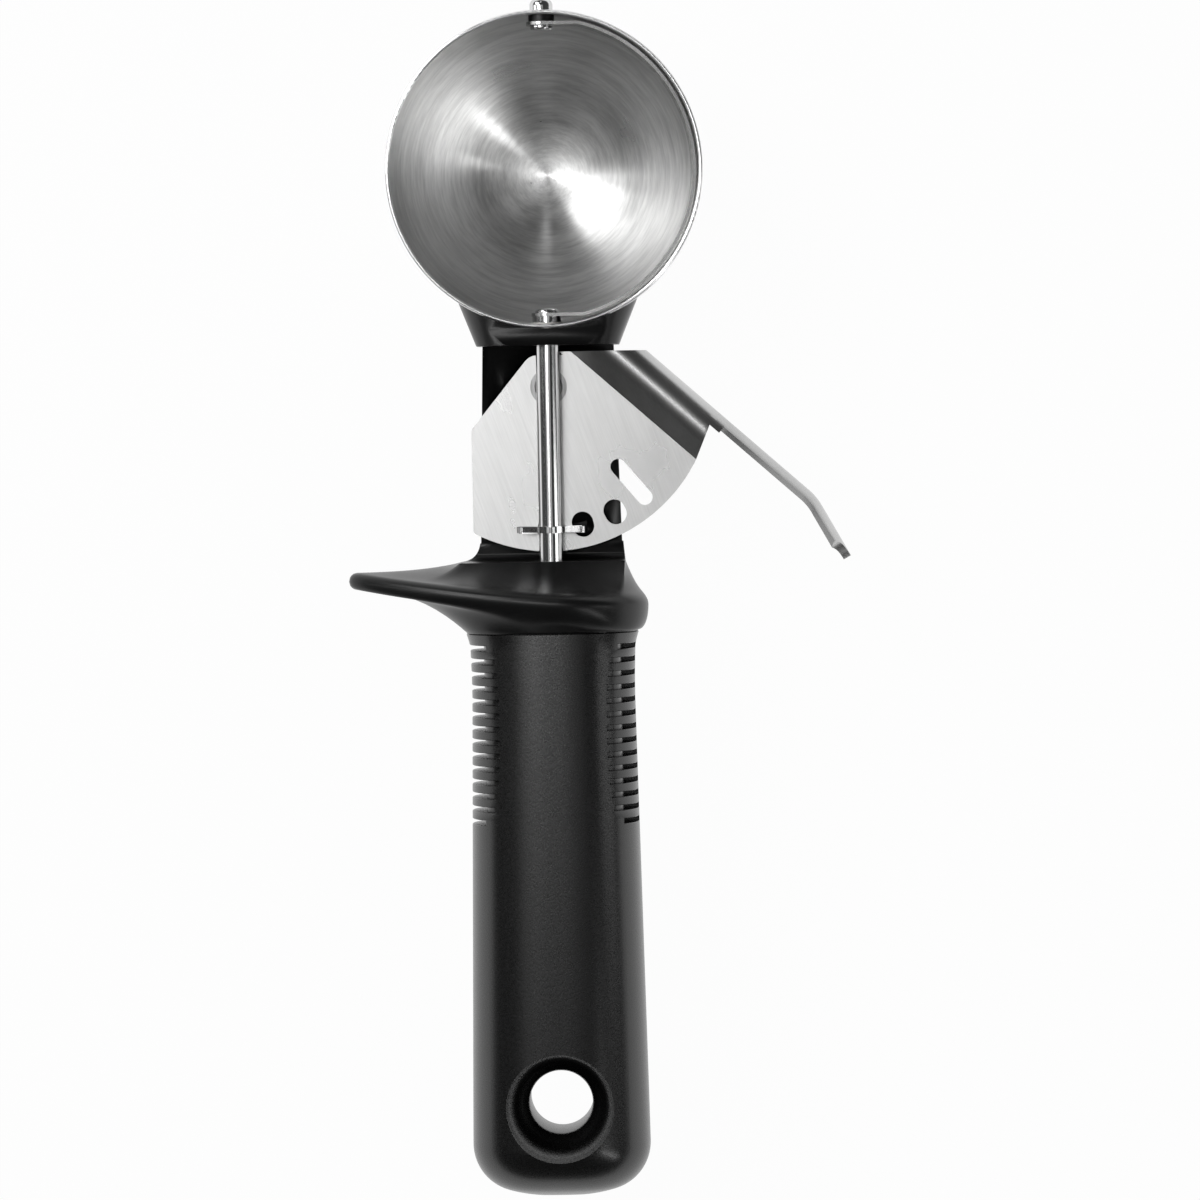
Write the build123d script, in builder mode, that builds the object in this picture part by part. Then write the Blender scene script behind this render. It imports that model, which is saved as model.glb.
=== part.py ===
from build123d import *
import os
from math import asin, atan2, cos, hypot, radians, sin, sqrt

# Lever ice cream scoop, in millimetres. Squeezing the lever against the handle turns a
# slotted sector plate, whose slots turn a star wheel, whose shaft sweeps a blade round the
# inside of the bowl. X runs across the handle towards the lever, Y from the handle's end to
# the bowl, Z up out of the bowl's mouth. The origin is on the axis of the hanging hole, at
# the handle's back. Names ending in _Z are heights from the shaft's centre line.

# ---- Driving dimensions ------------------------------------------------------------------
# Stations along the handle
END_TO_HOLE = 17.6  # handle's end to the hanging hole
HOLE_TO_SEAM = 87.3  # hanging hole to the joint between grip and guard
SEAM_TO_LEDGE = 12.9  # that joint to the ledge that the shaft stands on
LEDGE_TO_STAR = 5.9  # ledge to the middle of the star wheel
STAR_TO_PIVOT = 26.4  # star wheel to the lever's pivot
PIVOT_TO_COLLAR = 7.7  # lever's pivot to the underside of the collar
COLLAR_TO_RIM = 3.1  # that underside to the bowl's outside

# Bowl and blade
BOWL_INNER_R = 28.5
BOWL_WALL = 0.8
BOWL_LIP = 3.0  # straight rim above the shaft's centre line
BLADE_GAP = 0.6  # between the blade's ring and the bowl
BLADE_T = 0.6
BLADE_WIDTH = 7.0
BLADE_END_GAP = 1.4  # between the bowl and the flats that carry the blade
BLADE_END = 2.8  # how far a flat runs past the shaft's centre line
BLADE_END_ROUND = 2.6
BLADE_TILT = 3.0  # degrees that the resting blade lies below the shaft's plane
PIN_R = 1.5
PIN_HEAD_R = 2.15
PIN_HEAD_H = 2.2
PIN_TAIL_R = 2.1
PIN_TAIL_H = 0.7
SPACER_R = 2.4

# Shaft, bushings and star wheel
SHAFT_R = 2.2
TENON_R = 1.5  # reduced end that carries the blade
TENON_HEAD_R = 2.2
TENON_HEAD_H = 0.8
BUSH_R = 2.9
BUSH_LENGTH = 6.5  # lower bushing
SHAFT_PLAY = 0.05  # running clearance at each radius
END_PLAY = 0.1  # running clearance along an axis
HUB_R = 2.7  # washer between the upper bushing and the blade
CLIP_R = 4.0
CLIP_T = 0.7
CLIP_DEPTH = 0.5  # groove that the clip sits in
CLIP_POCKET_R = 4.9
STAR_TEETH = 6
STAR_TIP_R = 7.0
STAR_HUB_R = 3.1
STAR_T = 1.2
TOOTH_W = 0.9

# Lever: sector plate, curled flange and arm, bent from one sheet
SHEET_T = 1.4
PLATE_DROP = 3.8  # shaft's centre line down to the plate's front face
NECK_GAP = 0.4  # plate to the neck behind it
SLOT_PITCH = 14.0  # degrees between slots
SLOT_LEAD = 1.0  # degrees that the first slot is past the star at rest
SLOT_W = 4.0
SLOT_LENGTH = 4.7
LONG_SLOT_W = 2.9
LONG_SLOT_LENGTH = 10.4
LONG_SLOT_LEAD = 0.9  # degrees that the long slot stands ahead of its pitch
SLOT_OVER = 2.2  # outer ends of the slots past the star wheel
SLOT_EDGE = 1.9  # slots' outer ends to the plate's edge
PLATE_LEFT = 14.45  # straight left edge, from the pivot
PLATE_LEFT_TOP = 7.7  # where that edge ends, below the pivot
PLATE_NOSE_X = 3.4  # top left corner, from the pivot
PLATE_NOSE_Y = 5.9
CREASE_ANGLE = 41.7  # degrees that the flange runs below the X axis
CREASE_OFFSET = 7.65  # pivot to the crease
FLANGE_TOP = 6.5  # flange's top end, above the pivot
FLANGE_RISE = 2.5  # crest of the curl above the plate
FLANGE_REACH = 9.35  # crease to the flange's outer face
CURL_R = 4.1
LEVER_DEPTH = 12.7  # crest to the flange's back edge
ARM_CURL = 50.0  # degrees of the curl that run on along the arm
FLANGE_CUT = 2.3  # how far the flange ends short of the plate's edge
ARM_LENGTH = 23.8  # flange's end to the arm's bend
KNEE_BEND = 19.0
KNEE_R = 11.0
TIP_LENGTH = 12.6  # bend to the tip
TIP_ROUND = 4.5
RIVET_R = 2.0
RIVET_HEAD_R = 2.6
RIVET_HEAD_H = 0.75
RIVET_TAIL_H = 1.0
WASHER_R = 3.4
FRONT_WASHER_T = 0.4
REAR_WASHER_T = 0.6
REAR_WASHER_R = 4.2
PIVOT_PLAY = 0.06
SPACING_BUSH_R = 3.3

# Return spring, a torsion coil round the spacing bush
SPRING_COIL_R = 5.0
SPRING_WIRE_R = 0.5
SPRING_TURNS = 3
SPRING_PITCH = 1.15
SPRING_POCKET_R = 7.0
SPRING_POCKET_DEPTH = 4.4
SPRING_LEG = 10.0  # straight end that lies in the neck
SPRING_LEG_PLAY = 0.2

# Neck, collar and guard
NECK_TOP_HALF = 12.2
NECK_FOOT_HALF = 13.3
NECK_BACK_Z = -14.2
NECK_ROUND = 7.0
NECK_IN_GUARD = 4.0  # how far the neck runs down inside the guard
COLLAR_FRONT_Z = 4.4
COLLAR_OVER_RIM = 0.3
COLLAR_BACK_Z = -16.0
COLLAR_ROUND = 6.0
COLLAR_FOOT_HALF = 13.2
COLLAR_TOP_HALF = 16.4
COLLAR_RISE = 7.9  # underside to the collar's corners
CRADLE_RISE = 11.5  # underside to the end of the cradle's tongue
CRADLE_BACK_Z = -27.0
CRADLE_ROUND = 12.0
GUARD_R = 16.6  # round part of the guard, seen along the handle
GUARD_X = 1.2  # its centre, towards the lever
WING_TIP = 37.6  # how far the guard's wing reaches on the other side
WING_TIP_R = 4.0
WING_EDGE_R = 1.5
WING_TOP = 0.1  # top of the wing's root, below the ledge
WING_RAKE = 3.4  # degrees that the wing's top drops towards its tip
WING_SWEEP = 4.2  # neck's side to where the wing's top starts
WING_BELLY = 11.2  # wing's tip to the middle of its underside
WING_BELLY_UP = 6.3  # that middle above the joint
WING_HEEL = 4.3  # grip's side to the heel of the wing's underside
WING_HEEL_UP = 4.0  # that heel above the joint
GUARD_TOP = 3.4  # how far the guard's upper side runs past the ledge
GUARD_WAIST = 1.3  # guard's side past the neck, below the ledge
GUARD_WAIST_DOWN = 2.8  # that point below the ledge
GUARD_BELLY_UP = 4.3  # guard's widest point above the joint
GUARD_RIM_UP = 5.6  # guard's front rim above the joint
GUARD_RIM_FLAT = 0.2  # width of that rim
GUARD_RIM_ROUND = 2.0  # round below that rim
GUARD_RIM_OVER = 0.4  # rim's height past the guard's round part
GUARD_BACK_DOWN = 1.5  # where the guard's back leaves the neck, below the ledge
LEDGE_RAKE = 0.2  # how far the wall behind the shaft leans to the bowl
GUARD_FACE_DOWN = 4.2  # middle of the guard's hollow face below the ledge
GUARD_FACE_Z = 7.5  # that middle above the shaft's centre line
STAR_POCKET_DEPTH = 2.6
STAR_POCKET_PLAY = 0.8
RAMP_FOOT = 1.3  # neck's face starts this far above the ledge
LEDGE_DEPTH = 2.6  # from the shaft's centre line to the ledge's front edge

# Tang from the bowl to the handle
TANG_T = 1.5
TANG_WIDTH = 14.0
TANG_NECK_Z = -11.0
TANG_GRIP_Z = -8.5
TANG_IN_GRIP = 40.0  # length below the joint
TANG_BEND_UP = 3.0  # first bend above the joint
TANG_BEND_DOWN = 3.0  # second bend below the ledge
TANG_PIN_R = 1.5
TANG_PIN_PITCH = 22.0
TANG_PIN_FIRST = 12.0  # first pin below the joint

# Grip: hard core and soft sleeve
GRIP_THICK = 26.4
GRIP_SEAM_W = 32.0
GRIP_WAIST_W = 31.0
GRIP_HOLE_W = 33.2
GRIP_WAIST_AT = 72.0  # above the hanging hole
GRIP_ROUND = 11.0
GRIP_END_ROUND = 8.3
CORE_W = 20.0
CORE_T = 20.8
CORE_ROUND = 5.0
CORE_FOOT = 16.0  # core's end above the hanging hole
HOLE_R = 5.85
HOLE_MOUTH_R = 10.05
HOLE_LAND = 9.4  # straight part of the hole, at the back
FIN_COUNT = 14
FIN_PITCH = 2.47
FIN_GAP = 0.95
FIN_FIRST = 2.7  # first slot between fins, below the joint
FIN_FLOOR_HALF = 13.1  # slot floor at the handle's sides
FIN_FLOOR_FRONT_HALF = 10.3  # slot floor at the handle's front and back
FIN_FIELD_OVER = 1.3  # slotted field past the first and last slots

# ---- Derived stations --------------------------------------------------------------------
SHAFT_Z = GRIP_THICK / 2
SEAM_Y = HOLE_TO_SEAM
LEDGE_Y = SEAM_Y + SEAM_TO_LEDGE
STAR_Y = LEDGE_Y + LEDGE_TO_STAR
PIVOT_Y = STAR_Y + STAR_TO_PIVOT
COLLAR_Y = PIVOT_Y + PIVOT_TO_COLLAR
BOWL_R = BOWL_INNER_R + BOWL_WALL
BOWL_Y = COLLAR_Y + COLLAR_TO_RIM + BOWL_R
BLADE_END_R = BOWL_INNER_R - BLADE_END_GAP
SLOT_RIM_R = STAR_TO_PIVOT + SLOT_OVER  # from the pivot
PLATE_R = SLOT_RIM_R + SLOT_EDGE
PLATE_BACK_Z = -PLATE_DROP - SHEET_T
NECK_FACE_Z = PLATE_BACK_Z - NECK_GAP
SPRING_FLOOR_Z = NECK_FACE_Z - SPRING_POCKET_DEPTH
STAR_RATIO = 360 / STAR_TEETH / SLOT_PITCH
UPPER_BUSH_Y = COLLAR_Y + 0.6  # where the upper bushing starts, inside the collar
UPPER_BUSH_TOP = BOWL_Y - BOWL_INNER_R + 0.25
CLIP_Y = SEAM_Y + 1.6
LOWER_BUSH_Y = CLIP_Y + CLIP_T + END_PLAY

SIDE = Plane(origin=(0, 0, SHAFT_Z), x_dir=(0, 1, 0), z_dir=(1, 0, 0))
REACH = 400.0  # longer than anything that a profile cuts


def across(y):
    """Plane square to the shaft at y, whose normal points to the bowl."""
    return Plane(origin=(0, y, SHAFT_Z), x_dir=(1, 0, 0), z_dir=(0, 1, 0))


def level(z):
    """Plane facing up at height z from the shaft, with the pivot at its origin."""
    return Plane(origin=(0, PIVOT_Y, SHAFT_Z + z))


# ---- Bowl --------------------------------------------------------------------------------
BOWL_SECTION = Plane(origin=(0, BOWL_Y, SHAFT_Z), x_dir=(1, 0, 0), z_dir=(0, -1, 0))
BOWL_AXIS = Axis((0, BOWL_Y, SHAFT_Z), (0, 0, 1))


def bowl_corners(radius, lip):
    """Half a bowl's section: corners of the straight part, then three points of the round."""
    slant = radius * sqrt(0.5)
    return [(0, -radius), (0, lip), (radius, lip), (radius, 0)], [(radius, 0), (slant, -slant), (0, -radius)]


straight, rounding = bowl_corners(BOWL_R, BOWL_LIP)
with BuildPart() as bowl_outside:
    with BuildSketch(BOWL_SECTION):
        with BuildLine():
            Polyline(*straight)
            ThreePointArc(*rounding)
        make_face()
    revolve(axis=BOWL_AXIS)

straight, rounding = bowl_corners(BOWL_R, BOWL_LIP + BOWL_R)
with BuildPart() as bowl_seat:
    with BuildSketch(BOWL_SECTION):
        with BuildLine():
            Polyline(*straight)
            ThreePointArc(*rounding)
        make_face()
    revolve(axis=BOWL_AXIS)

straight, rounding = bowl_corners(BOWL_INNER_R, BOWL_LIP + 1)
with BuildPart() as bowl_inside:
    with BuildSketch(BOWL_SECTION):
        with BuildLine():
            Polyline(*straight)
            ThreePointArc(*rounding)
        make_face()
    revolve(axis=BOWL_AXIS)

with BuildPart() as bowl:
    add(bowl_outside.part)
    add(bowl_inside.part, mode=Mode.SUBTRACT)
    fillet(bowl.faces().sort_by(Axis.Z)[-1].edges(), radius=BOWL_WALL * 0.45)
    with BuildSketch(across(BOWL_Y)):
        Circle(PIN_R)
    extrude(amount=BOWL_R + 1, mode=Mode.SUBTRACT)
    with BuildSketch(across(BOWL_Y)):
        Circle(BUSH_R)
    extrude(amount=-BOWL_R - 1, mode=Mode.SUBTRACT)

# Rivet pin at the far side of the bowl, which carries the blade's free end
pin_tail_y = BOWL_Y + BLADE_END_R - BLADE_T - END_PLAY
with BuildPart() as top_pivot_pin:
    with BuildSketch(across(BOWL_Y + BOWL_R - 1)):
        Circle(PIN_HEAD_R)
    extrude(amount=1 + PIN_HEAD_H)
    fillet(top_pivot_pin.faces().sort_by(Axis.Y)[-1].edges(), radius=PIN_HEAD_R * 0.6)
    add(bowl_outside.part, mode=Mode.SUBTRACT)
    with BuildSketch(across(pin_tail_y)):
        Circle(PIN_R)
    extrude(amount=BOWL_Y + BOWL_R + PIN_HEAD_H / 2 - pin_tail_y)
    with BuildSketch(across(pin_tail_y)):
        Circle(PIN_TAIL_R)
    extrude(amount=-PIN_TAIL_H)
    fillet(top_pivot_pin.faces().sort_by(Axis.Y)[0].edges(), radius=PIN_TAIL_H * 0.6)

with BuildPart() as top_spacer:
    with BuildSketch(across(BOWL_Y + BLADE_END_R + END_PLAY)):
        Circle(SPACER_R)
        Circle(PIN_R, mode=Mode.SUBTRACT)
    extrude(amount=BOWL_INNER_R)
    add(bowl_inside.part, mode=Mode.INTERSECT)

# ---- Sweep blade: half a ring that parks on the lever's side of the bowl ------------------
tilt = radians(BLADE_TILT)
BLADE_PLANE = Plane(
    origin=(0, BOWL_Y, SHAFT_Z),
    x_dir=(cos(tilt), 0, -sin(tilt)),
    z_dir=(sin(tilt), 0, cos(tilt)),
)
blade_r = BOWL_INNER_R - BLADE_GAP
flat_end = sqrt(blade_r**2 - BLADE_END_R**2)

with BuildPart() as sweep_blade:
    with BuildSketch(BLADE_PLANE):
        with BuildLine():
            Line((-BLADE_END, BLADE_END_R), (flat_end, BLADE_END_R))
            ThreePointArc((flat_end, BLADE_END_R), (blade_r, 0), (flat_end, -BLADE_END_R))
            Line((flat_end, -BLADE_END_R), (-BLADE_END, -BLADE_END_R))
            offset(amount=BLADE_T, side=Side.RIGHT)
        make_face()
    extrude(amount=BLADE_WIDTH / 2, both=True)
    fillet(sweep_blade.edges().filter_by(Axis.Y), radius=BLADE_END_ROUND)
    with BuildSketch(across(BOWL_Y)):
        Circle(PIN_R + PIVOT_PLAY)
    extrude(amount=BOWL_R, mode=Mode.SUBTRACT)
    with BuildSketch(across(BOWL_Y)):
        Circle(TENON_R)
    extrude(amount=-BOWL_R, mode=Mode.SUBTRACT)

# ---- Shaft, its bushings, washer and clip -------------------------------------------------
blade_foot = BOWL_Y - BLADE_END_R  # the blade's lower flat
hub_foot = UPPER_BUSH_TOP + END_PLAY

with BuildPart() as drive_shaft:
    with BuildSketch(across(CLIP_Y - 1.0)):
        Circle(SHAFT_R)
    extrude(amount=hub_foot - CLIP_Y + 1.0)
    chamfer(drive_shaft.faces().sort_by(Axis.Y)[0].edges(), length=0.4)
    with BuildSketch(across(hub_foot)):
        Circle(TENON_R)
    extrude(amount=blade_foot + BLADE_T - hub_foot)
    with BuildSketch(across(blade_foot + BLADE_T)):
        Circle(TENON_HEAD_R)
    extrude(amount=TENON_HEAD_H)
    fillet(drive_shaft.faces().sort_by(Axis.Y)[-1].edges(), radius=TENON_HEAD_H * 0.8)
    with BuildSketch(across(CLIP_Y)):
        Circle(SHAFT_R + 1)
        Circle(SHAFT_R - CLIP_DEPTH, mode=Mode.SUBTRACT)
    extrude(amount=CLIP_T, mode=Mode.SUBTRACT)

with BuildPart() as hub_washer:
    with BuildSketch(across(hub_foot)):
        Circle(HUB_R)
        Circle(TENON_R, mode=Mode.SUBTRACT)
    extrude(amount=blade_foot - hub_foot)

with BuildPart() as shaft_clip:
    with BuildSketch(across(CLIP_Y)):
        Circle(CLIP_R)
        Circle(SHAFT_R - CLIP_DEPTH, mode=Mode.SUBTRACT)
        with Locations((0, CLIP_R / 2)):
            Rectangle(2 * (SHAFT_R - CLIP_DEPTH) * 0.8, CLIP_R, mode=Mode.SUBTRACT)
    extrude(amount=CLIP_T)

with BuildPart() as upper_bushing:
    with BuildSketch(across(UPPER_BUSH_Y)):
        Circle(BUSH_R)
        Circle(SHAFT_R + SHAFT_PLAY, mode=Mode.SUBTRACT)
    extrude(amount=UPPER_BUSH_TOP - UPPER_BUSH_Y)

with BuildPart() as lower_bushing:
    with BuildSketch(across(LOWER_BUSH_Y)):
        Circle(BUSH_R)
        Circle(SHAFT_R + SHAFT_PLAY, mode=Mode.SUBTRACT)
    extrude(amount=BUSH_LENGTH)

with BuildPart() as star_wheel:
    with BuildSketch(across(STAR_Y)):
        Circle(STAR_HUB_R)
        with PolarLocations(STAR_TIP_R / 2, STAR_TEETH, start_angle=90 + SLOT_LEAD * STAR_RATIO):
            SlotOverall(STAR_TIP_R, TOOTH_W)
        Circle(SHAFT_R, mode=Mode.SUBTRACT)
    extrude(amount=STAR_T / 2, both=True)

# ---- Lever -------------------------------------------------------------------------------
fall = radians(CREASE_ANGLE)
along = Vector(cos(fall), -sin(fall), 0)  # along the crease, away from the bowl
outward = Vector(sin(fall), cos(fall), 0)  # square to the crease, away from the pivot
pivot = Vector(0, PIVOT_Y, SHAFT_Z)
curl_z = -PLATE_DROP + FLANGE_RISE - CURL_R  # centre of the curl
back_z = -PLATE_DROP + FLANGE_RISE - LEVER_DEPTH
curl_s = FLANGE_REACH - CURL_R
crease_end = sqrt(PLATE_R**2 - CREASE_OFFSET**2)
arm_start = crease_end - FLANGE_CUT


def crease_point(t, s):
    """Point in the pivot's plane, t along the crease and s outward of it."""
    return tuple(along * t + outward * (CREASE_OFFSET + s))[:2]


def crease_plane(t):
    """Section plane of the flange at t along the crease, with the crease at its origin."""
    return Plane(origin=pivot + along * t + outward * CREASE_OFFSET, x_dir=outward, z_dir=along)


def slot_place(angle, radius):
    """Place on the plate at an angle from straight down towards the lever."""
    turn = radians(angle)
    return Location((radius * sin(turn), -radius * cos(turn), 0), (0, 0, angle - 90))


ramp_run = sqrt(curl_s**2 + (curl_z + PLATE_DROP) ** 2 - CURL_R**2)
ramp_angle = atan2(curl_z + PLATE_DROP, curl_s) + asin(CURL_R / hypot(curl_s, curl_z + PLATE_DROP))
ramp_top = (ramp_run * cos(ramp_angle), -PLATE_DROP + ramp_run * sin(ramp_angle))
crest = (curl_s, curl_z + CURL_R)
curl_end = (FLANGE_REACH, curl_z)
lip_angle = radians(ARM_CURL)
lip = (curl_s + CURL_R * cos(lip_angle), curl_z + CURL_R * sin(lip_angle))
flange_top_t = (-FLANGE_TOP + CREASE_OFFSET * cos(fall)) / sin(fall) - 1.5
knee = crease_point(arm_start + ARM_LENGTH, FLANGE_REACH)
tip_fall = fall + radians(KNEE_BEND)
tip = (knee[0] + TIP_LENGTH * cos(tip_fall), knee[1] - TIP_LENGTH * sin(tip_fall))
tip_along = Vector(cos(tip_fall), -sin(tip_fall), 0)
tip_outward = Vector(sin(tip_fall), cos(tip_fall), 0)

with BuildPart() as trigger_lever:
    # Curled flange along the crease, with a strip of plate inside the crease
    with BuildSketch(crease_plane(flange_top_t)):
        with BuildLine():
            Line((-SHEET_T, -PLATE_DROP), (0, -PLATE_DROP))
            Line((0, -PLATE_DROP), ramp_top)
            ThreePointArc(ramp_top, crest, lip)
            ThreePointArc(
                lip,
                (curl_s + CURL_R * cos(lip_angle / 2), curl_z + CURL_R * sin(lip_angle / 2)),
                curl_end,
            )
            Line(curl_end, (FLANGE_REACH, back_z))
            offset(amount=SHEET_T, side=Side.RIGHT)
        make_face()
    extrude(amount=crease_end - flange_top_t)
    # The flange is cut back where the arm leaves it
    with BuildSketch(level(-REACH / 2)):
        with BuildLine():
            Polyline(
                crease_point(crease_end, -REACH / 8),
                crease_point(crease_end, 0),
                crease_point(arm_start, lip[0] - SHEET_T),
                crease_point(REACH / 2, lip[0] - SHEET_T),
                crease_point(REACH / 2, -REACH / 8),
                close=True,
            )
        make_face()
    extrude(amount=REACH, mode=Mode.SUBTRACT)
    # Its top end is cut level
    with BuildSketch(level(-REACH / 2)):
        with Locations((0, FLANGE_TOP)):
            Rectangle(REACH, REACH, align=(Align.CENTER, Align.MIN))
    extrude(amount=REACH, mode=Mode.SUBTRACT)
    # Arm: the outer part of the curl runs on, bends at the knee and ends at the tip
    with BuildLine(level(0)) as arm_path:
        FilletPolyline(crease_point(arm_start - 1, FLANGE_REACH), knee, tip, radius=KNEE_R)
    with BuildSketch(crease_plane(arm_start - 1)) as arm_section:
        with BuildLine():
            inner_r = CURL_R - SHEET_T
            inner_lip = (curl_s + inner_r * cos(lip_angle), curl_z + inner_r * sin(lip_angle))
            half = lip_angle / 2
            ThreePointArc(
                curl_end,
                (curl_s + CURL_R * cos(half), curl_z + CURL_R * sin(half)),
                lip,
            )
            Line(lip, inner_lip)
            ThreePointArc(
                inner_lip,
                (curl_s + inner_r * cos(half), curl_z + inner_r * sin(half)),
                (curl_s + inner_r, curl_z),
            )
            Polyline(
                (curl_s + inner_r, curl_z),
                (FLANGE_REACH - SHEET_T, back_z),
                (FLANGE_REACH, back_z),
                curl_end,
            )
        make_face()
    sweep(sections=arm_section.sketch, path=arm_path.line)
    # Sector plate
    with BuildSketch(level(PLATE_BACK_Z)) as plate_outline:
        with BuildLine():
            left_foot = (-PLATE_LEFT, -sqrt(PLATE_R**2 - PLATE_LEFT**2))
            Polyline(
                left_foot,
                (-PLATE_LEFT, -PLATE_LEFT_TOP),
                (-PLATE_NOSE_X, PLATE_NOSE_Y),
                crease_point((CREASE_OFFSET * cos(fall) - PLATE_NOSE_Y) / sin(fall), 0),
                crease_point(crease_end, 0),
            )
            ThreePointArc(crease_point(crease_end, 0), (0, -PLATE_R), left_foot)
        make_face()
        fillet(plate_outline.vertices().group_by(Axis.X)[0], radius=1.0)
        fillet(plate_outline.vertices().sort_by(Axis.Y)[-2:].sort_by(Axis.X)[0], radius=3.0)
        Circle(RIVET_R + PIVOT_PLAY, mode=Mode.SUBTRACT)
        for count in range(3):
            with Locations(slot_place(count * SLOT_PITCH - SLOT_LEAD, SLOT_RIM_R - SLOT_LENGTH / 2)):
                SlotOverall(SLOT_LENGTH, SLOT_W, mode=Mode.SUBTRACT)
        with Locations(
            slot_place(3 * SLOT_PITCH - SLOT_LEAD - LONG_SLOT_LEAD, SLOT_RIM_R - LONG_SLOT_LENGTH / 2)
        ):
            SlotOverall(LONG_SLOT_LENGTH, LONG_SLOT_W, mode=Mode.SUBTRACT)
    extrude(amount=SHEET_T)
    # Rounded tip
    with BuildSketch(
        Plane(
            origin=pivot + Vector(*tip) + tip_outward * REACH / 8,
            x_dir=tip_along,
            z_dir=-tip_outward,
        )
    ):
        with Locations((0, crest[1])):
            with BuildLine():
                Line((-TIP_ROUND, 0), (0, 0))
                Line((0, 0), (0, -TIP_ROUND))
                RadiusArc((0, -TIP_ROUND), (-TIP_ROUND, 0), TIP_ROUND)
            make_face()
    extrude(amount=REACH / 4, mode=Mode.SUBTRACT)

# Rivet, washers and spacing bush that the lever turns on
with BuildPart() as lever_rivet:
    with BuildSketch(level(-PLATE_DROP + END_PLAY + FRONT_WASHER_T)):
        Circle(RIVET_HEAD_R)
    extrude(amount=RIVET_HEAD_H)
    fillet(lever_rivet.faces().sort_by(Axis.Z)[-1].edges(), radius=RIVET_HEAD_H * 0.8)
    with BuildSketch(level(NECK_BACK_Z - REAR_WASHER_T)):
        Circle(RIVET_R)
    extrude(amount=-PLATE_DROP + END_PLAY + FRONT_WASHER_T - NECK_BACK_Z + REAR_WASHER_T)
    with BuildSketch(level(NECK_BACK_Z - REAR_WASHER_T)):
        Circle(RIVET_HEAD_R)
    extrude(amount=-RIVET_TAIL_H)
    fillet(lever_rivet.faces().sort_by(Axis.Z)[0].edges(), radius=RIVET_TAIL_H * 0.8)

with BuildPart() as front_washer:
    with BuildSketch(level(-PLATE_DROP + END_PLAY)):
        Circle(WASHER_R)
        Circle(RIVET_R, mode=Mode.SUBTRACT)
    extrude(amount=FRONT_WASHER_T)

with BuildPart() as rear_washer:
    with BuildSketch(level(NECK_BACK_Z - REAR_WASHER_T)):
        Circle(REAR_WASHER_R)
        Circle(RIVET_R, mode=Mode.SUBTRACT)
    extrude(amount=REAR_WASHER_T)

with BuildPart() as spacing_bush:
    with BuildSketch(level(SPRING_FLOOR_Z)):
        Circle(SPACING_BUSH_R)
        Circle(RIVET_R, mode=Mode.SUBTRACT)
    extrude(amount=PLATE_BACK_Z - END_PLAY - SPRING_FLOOR_Z)

# Torsion spring: a coil round the spacing bush, on the floor of its pocket
spring_z = SHAFT_Z + SPRING_FLOOR_Z + SPRING_WIRE_R
with BuildPart() as return_spring:
    with BuildLine() as coil:
        Helix(
            pitch=SPRING_PITCH,
            height=SPRING_TURNS * SPRING_PITCH,
            radius=SPRING_COIL_R,
            center=(0, PIVOT_Y, spring_z),
        )
    with BuildSketch(Plane(origin=coil.line @ 0, z_dir=coil.line % 0)) as wire:
        Circle(SPRING_WIRE_R)
    sweep(path=coil.line, is_frenet=True)
    extrude(wire.sketch, amount=SPRING_LEG, dir=(0, -1, 0))

# ---- Tang: carries the bowl, runs down the neck and into the grip -------------------------
tang_outer_r = BOWL_R + TANG_T
tang_in = SEAM_Y - TANG_IN_GRIP

with BuildPart() as bowl_tang:
    with BuildSketch(SIDE):
        with Locations((BOWL_Y, 0)):
            Circle(tang_outer_r)
        with BuildLine():
            Polyline(
                (tang_in, TANG_GRIP_Z - TANG_T / 2),
                (SEAM_Y + TANG_BEND_UP, TANG_GRIP_Z - TANG_T / 2),
                (LEDGE_Y - TANG_BEND_DOWN, TANG_NECK_Z - TANG_T / 2),
                (BOWL_Y, TANG_NECK_Z - TANG_T / 2),
                (BOWL_Y, TANG_NECK_Z + TANG_T / 2),
                (LEDGE_Y - TANG_BEND_DOWN, TANG_NECK_Z + TANG_T / 2),
                (SEAM_Y + TANG_BEND_UP, TANG_GRIP_Z + TANG_T / 2),
                (tang_in, TANG_GRIP_Z + TANG_T / 2),
                close=True,
            )
        make_face()
    extrude(amount=TANG_WIDTH / 2, both=True)
    # Only the pad below the tang's own height is kept, up to the cradle's end
    with BuildSketch(SIDE):
        with BuildLine():
            pad_y = COLLAR_Y + CRADLE_RISE - 1.0
            Polyline(
                (0, 0),
                (BOWL_Y - BOWL_R, TANG_NECK_Z + TANG_T / 2),
                (pad_y, TANG_NECK_Z + TANG_T / 2),
                (pad_y, -REACH / 4),
                (0, -REACH / 4),
                close=True,
            )
        make_face()
    extrude(amount=TANG_WIDTH, both=True, mode=Mode.INTERSECT)
    add(bowl_outside.part, mode=Mode.SUBTRACT)
    with BuildSketch(level(-REACH / 8)):
        Circle(RIVET_R)
        with Locations((0, SEAM_Y - TANG_PIN_FIRST - PIVOT_Y)):
            Circle(TANG_PIN_R)
        with Locations((0, SEAM_Y - TANG_PIN_FIRST - TANG_PIN_PITCH - PIVOT_Y)):
            Circle(TANG_PIN_R)
    extrude(amount=REACH / 8, mode=Mode.SUBTRACT)

with BuildPart() as tang_pins:
    with BuildSketch(level(-CORE_T / 2)):
        with Locations((0, SEAM_Y - TANG_PIN_FIRST - PIVOT_Y)):
            Circle(TANG_PIN_R)
        with Locations((0, SEAM_Y - TANG_PIN_FIRST - TANG_PIN_PITCH - PIVOT_Y)):
            Circle(TANG_PIN_R)
    extrude(amount=CORE_T)

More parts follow.
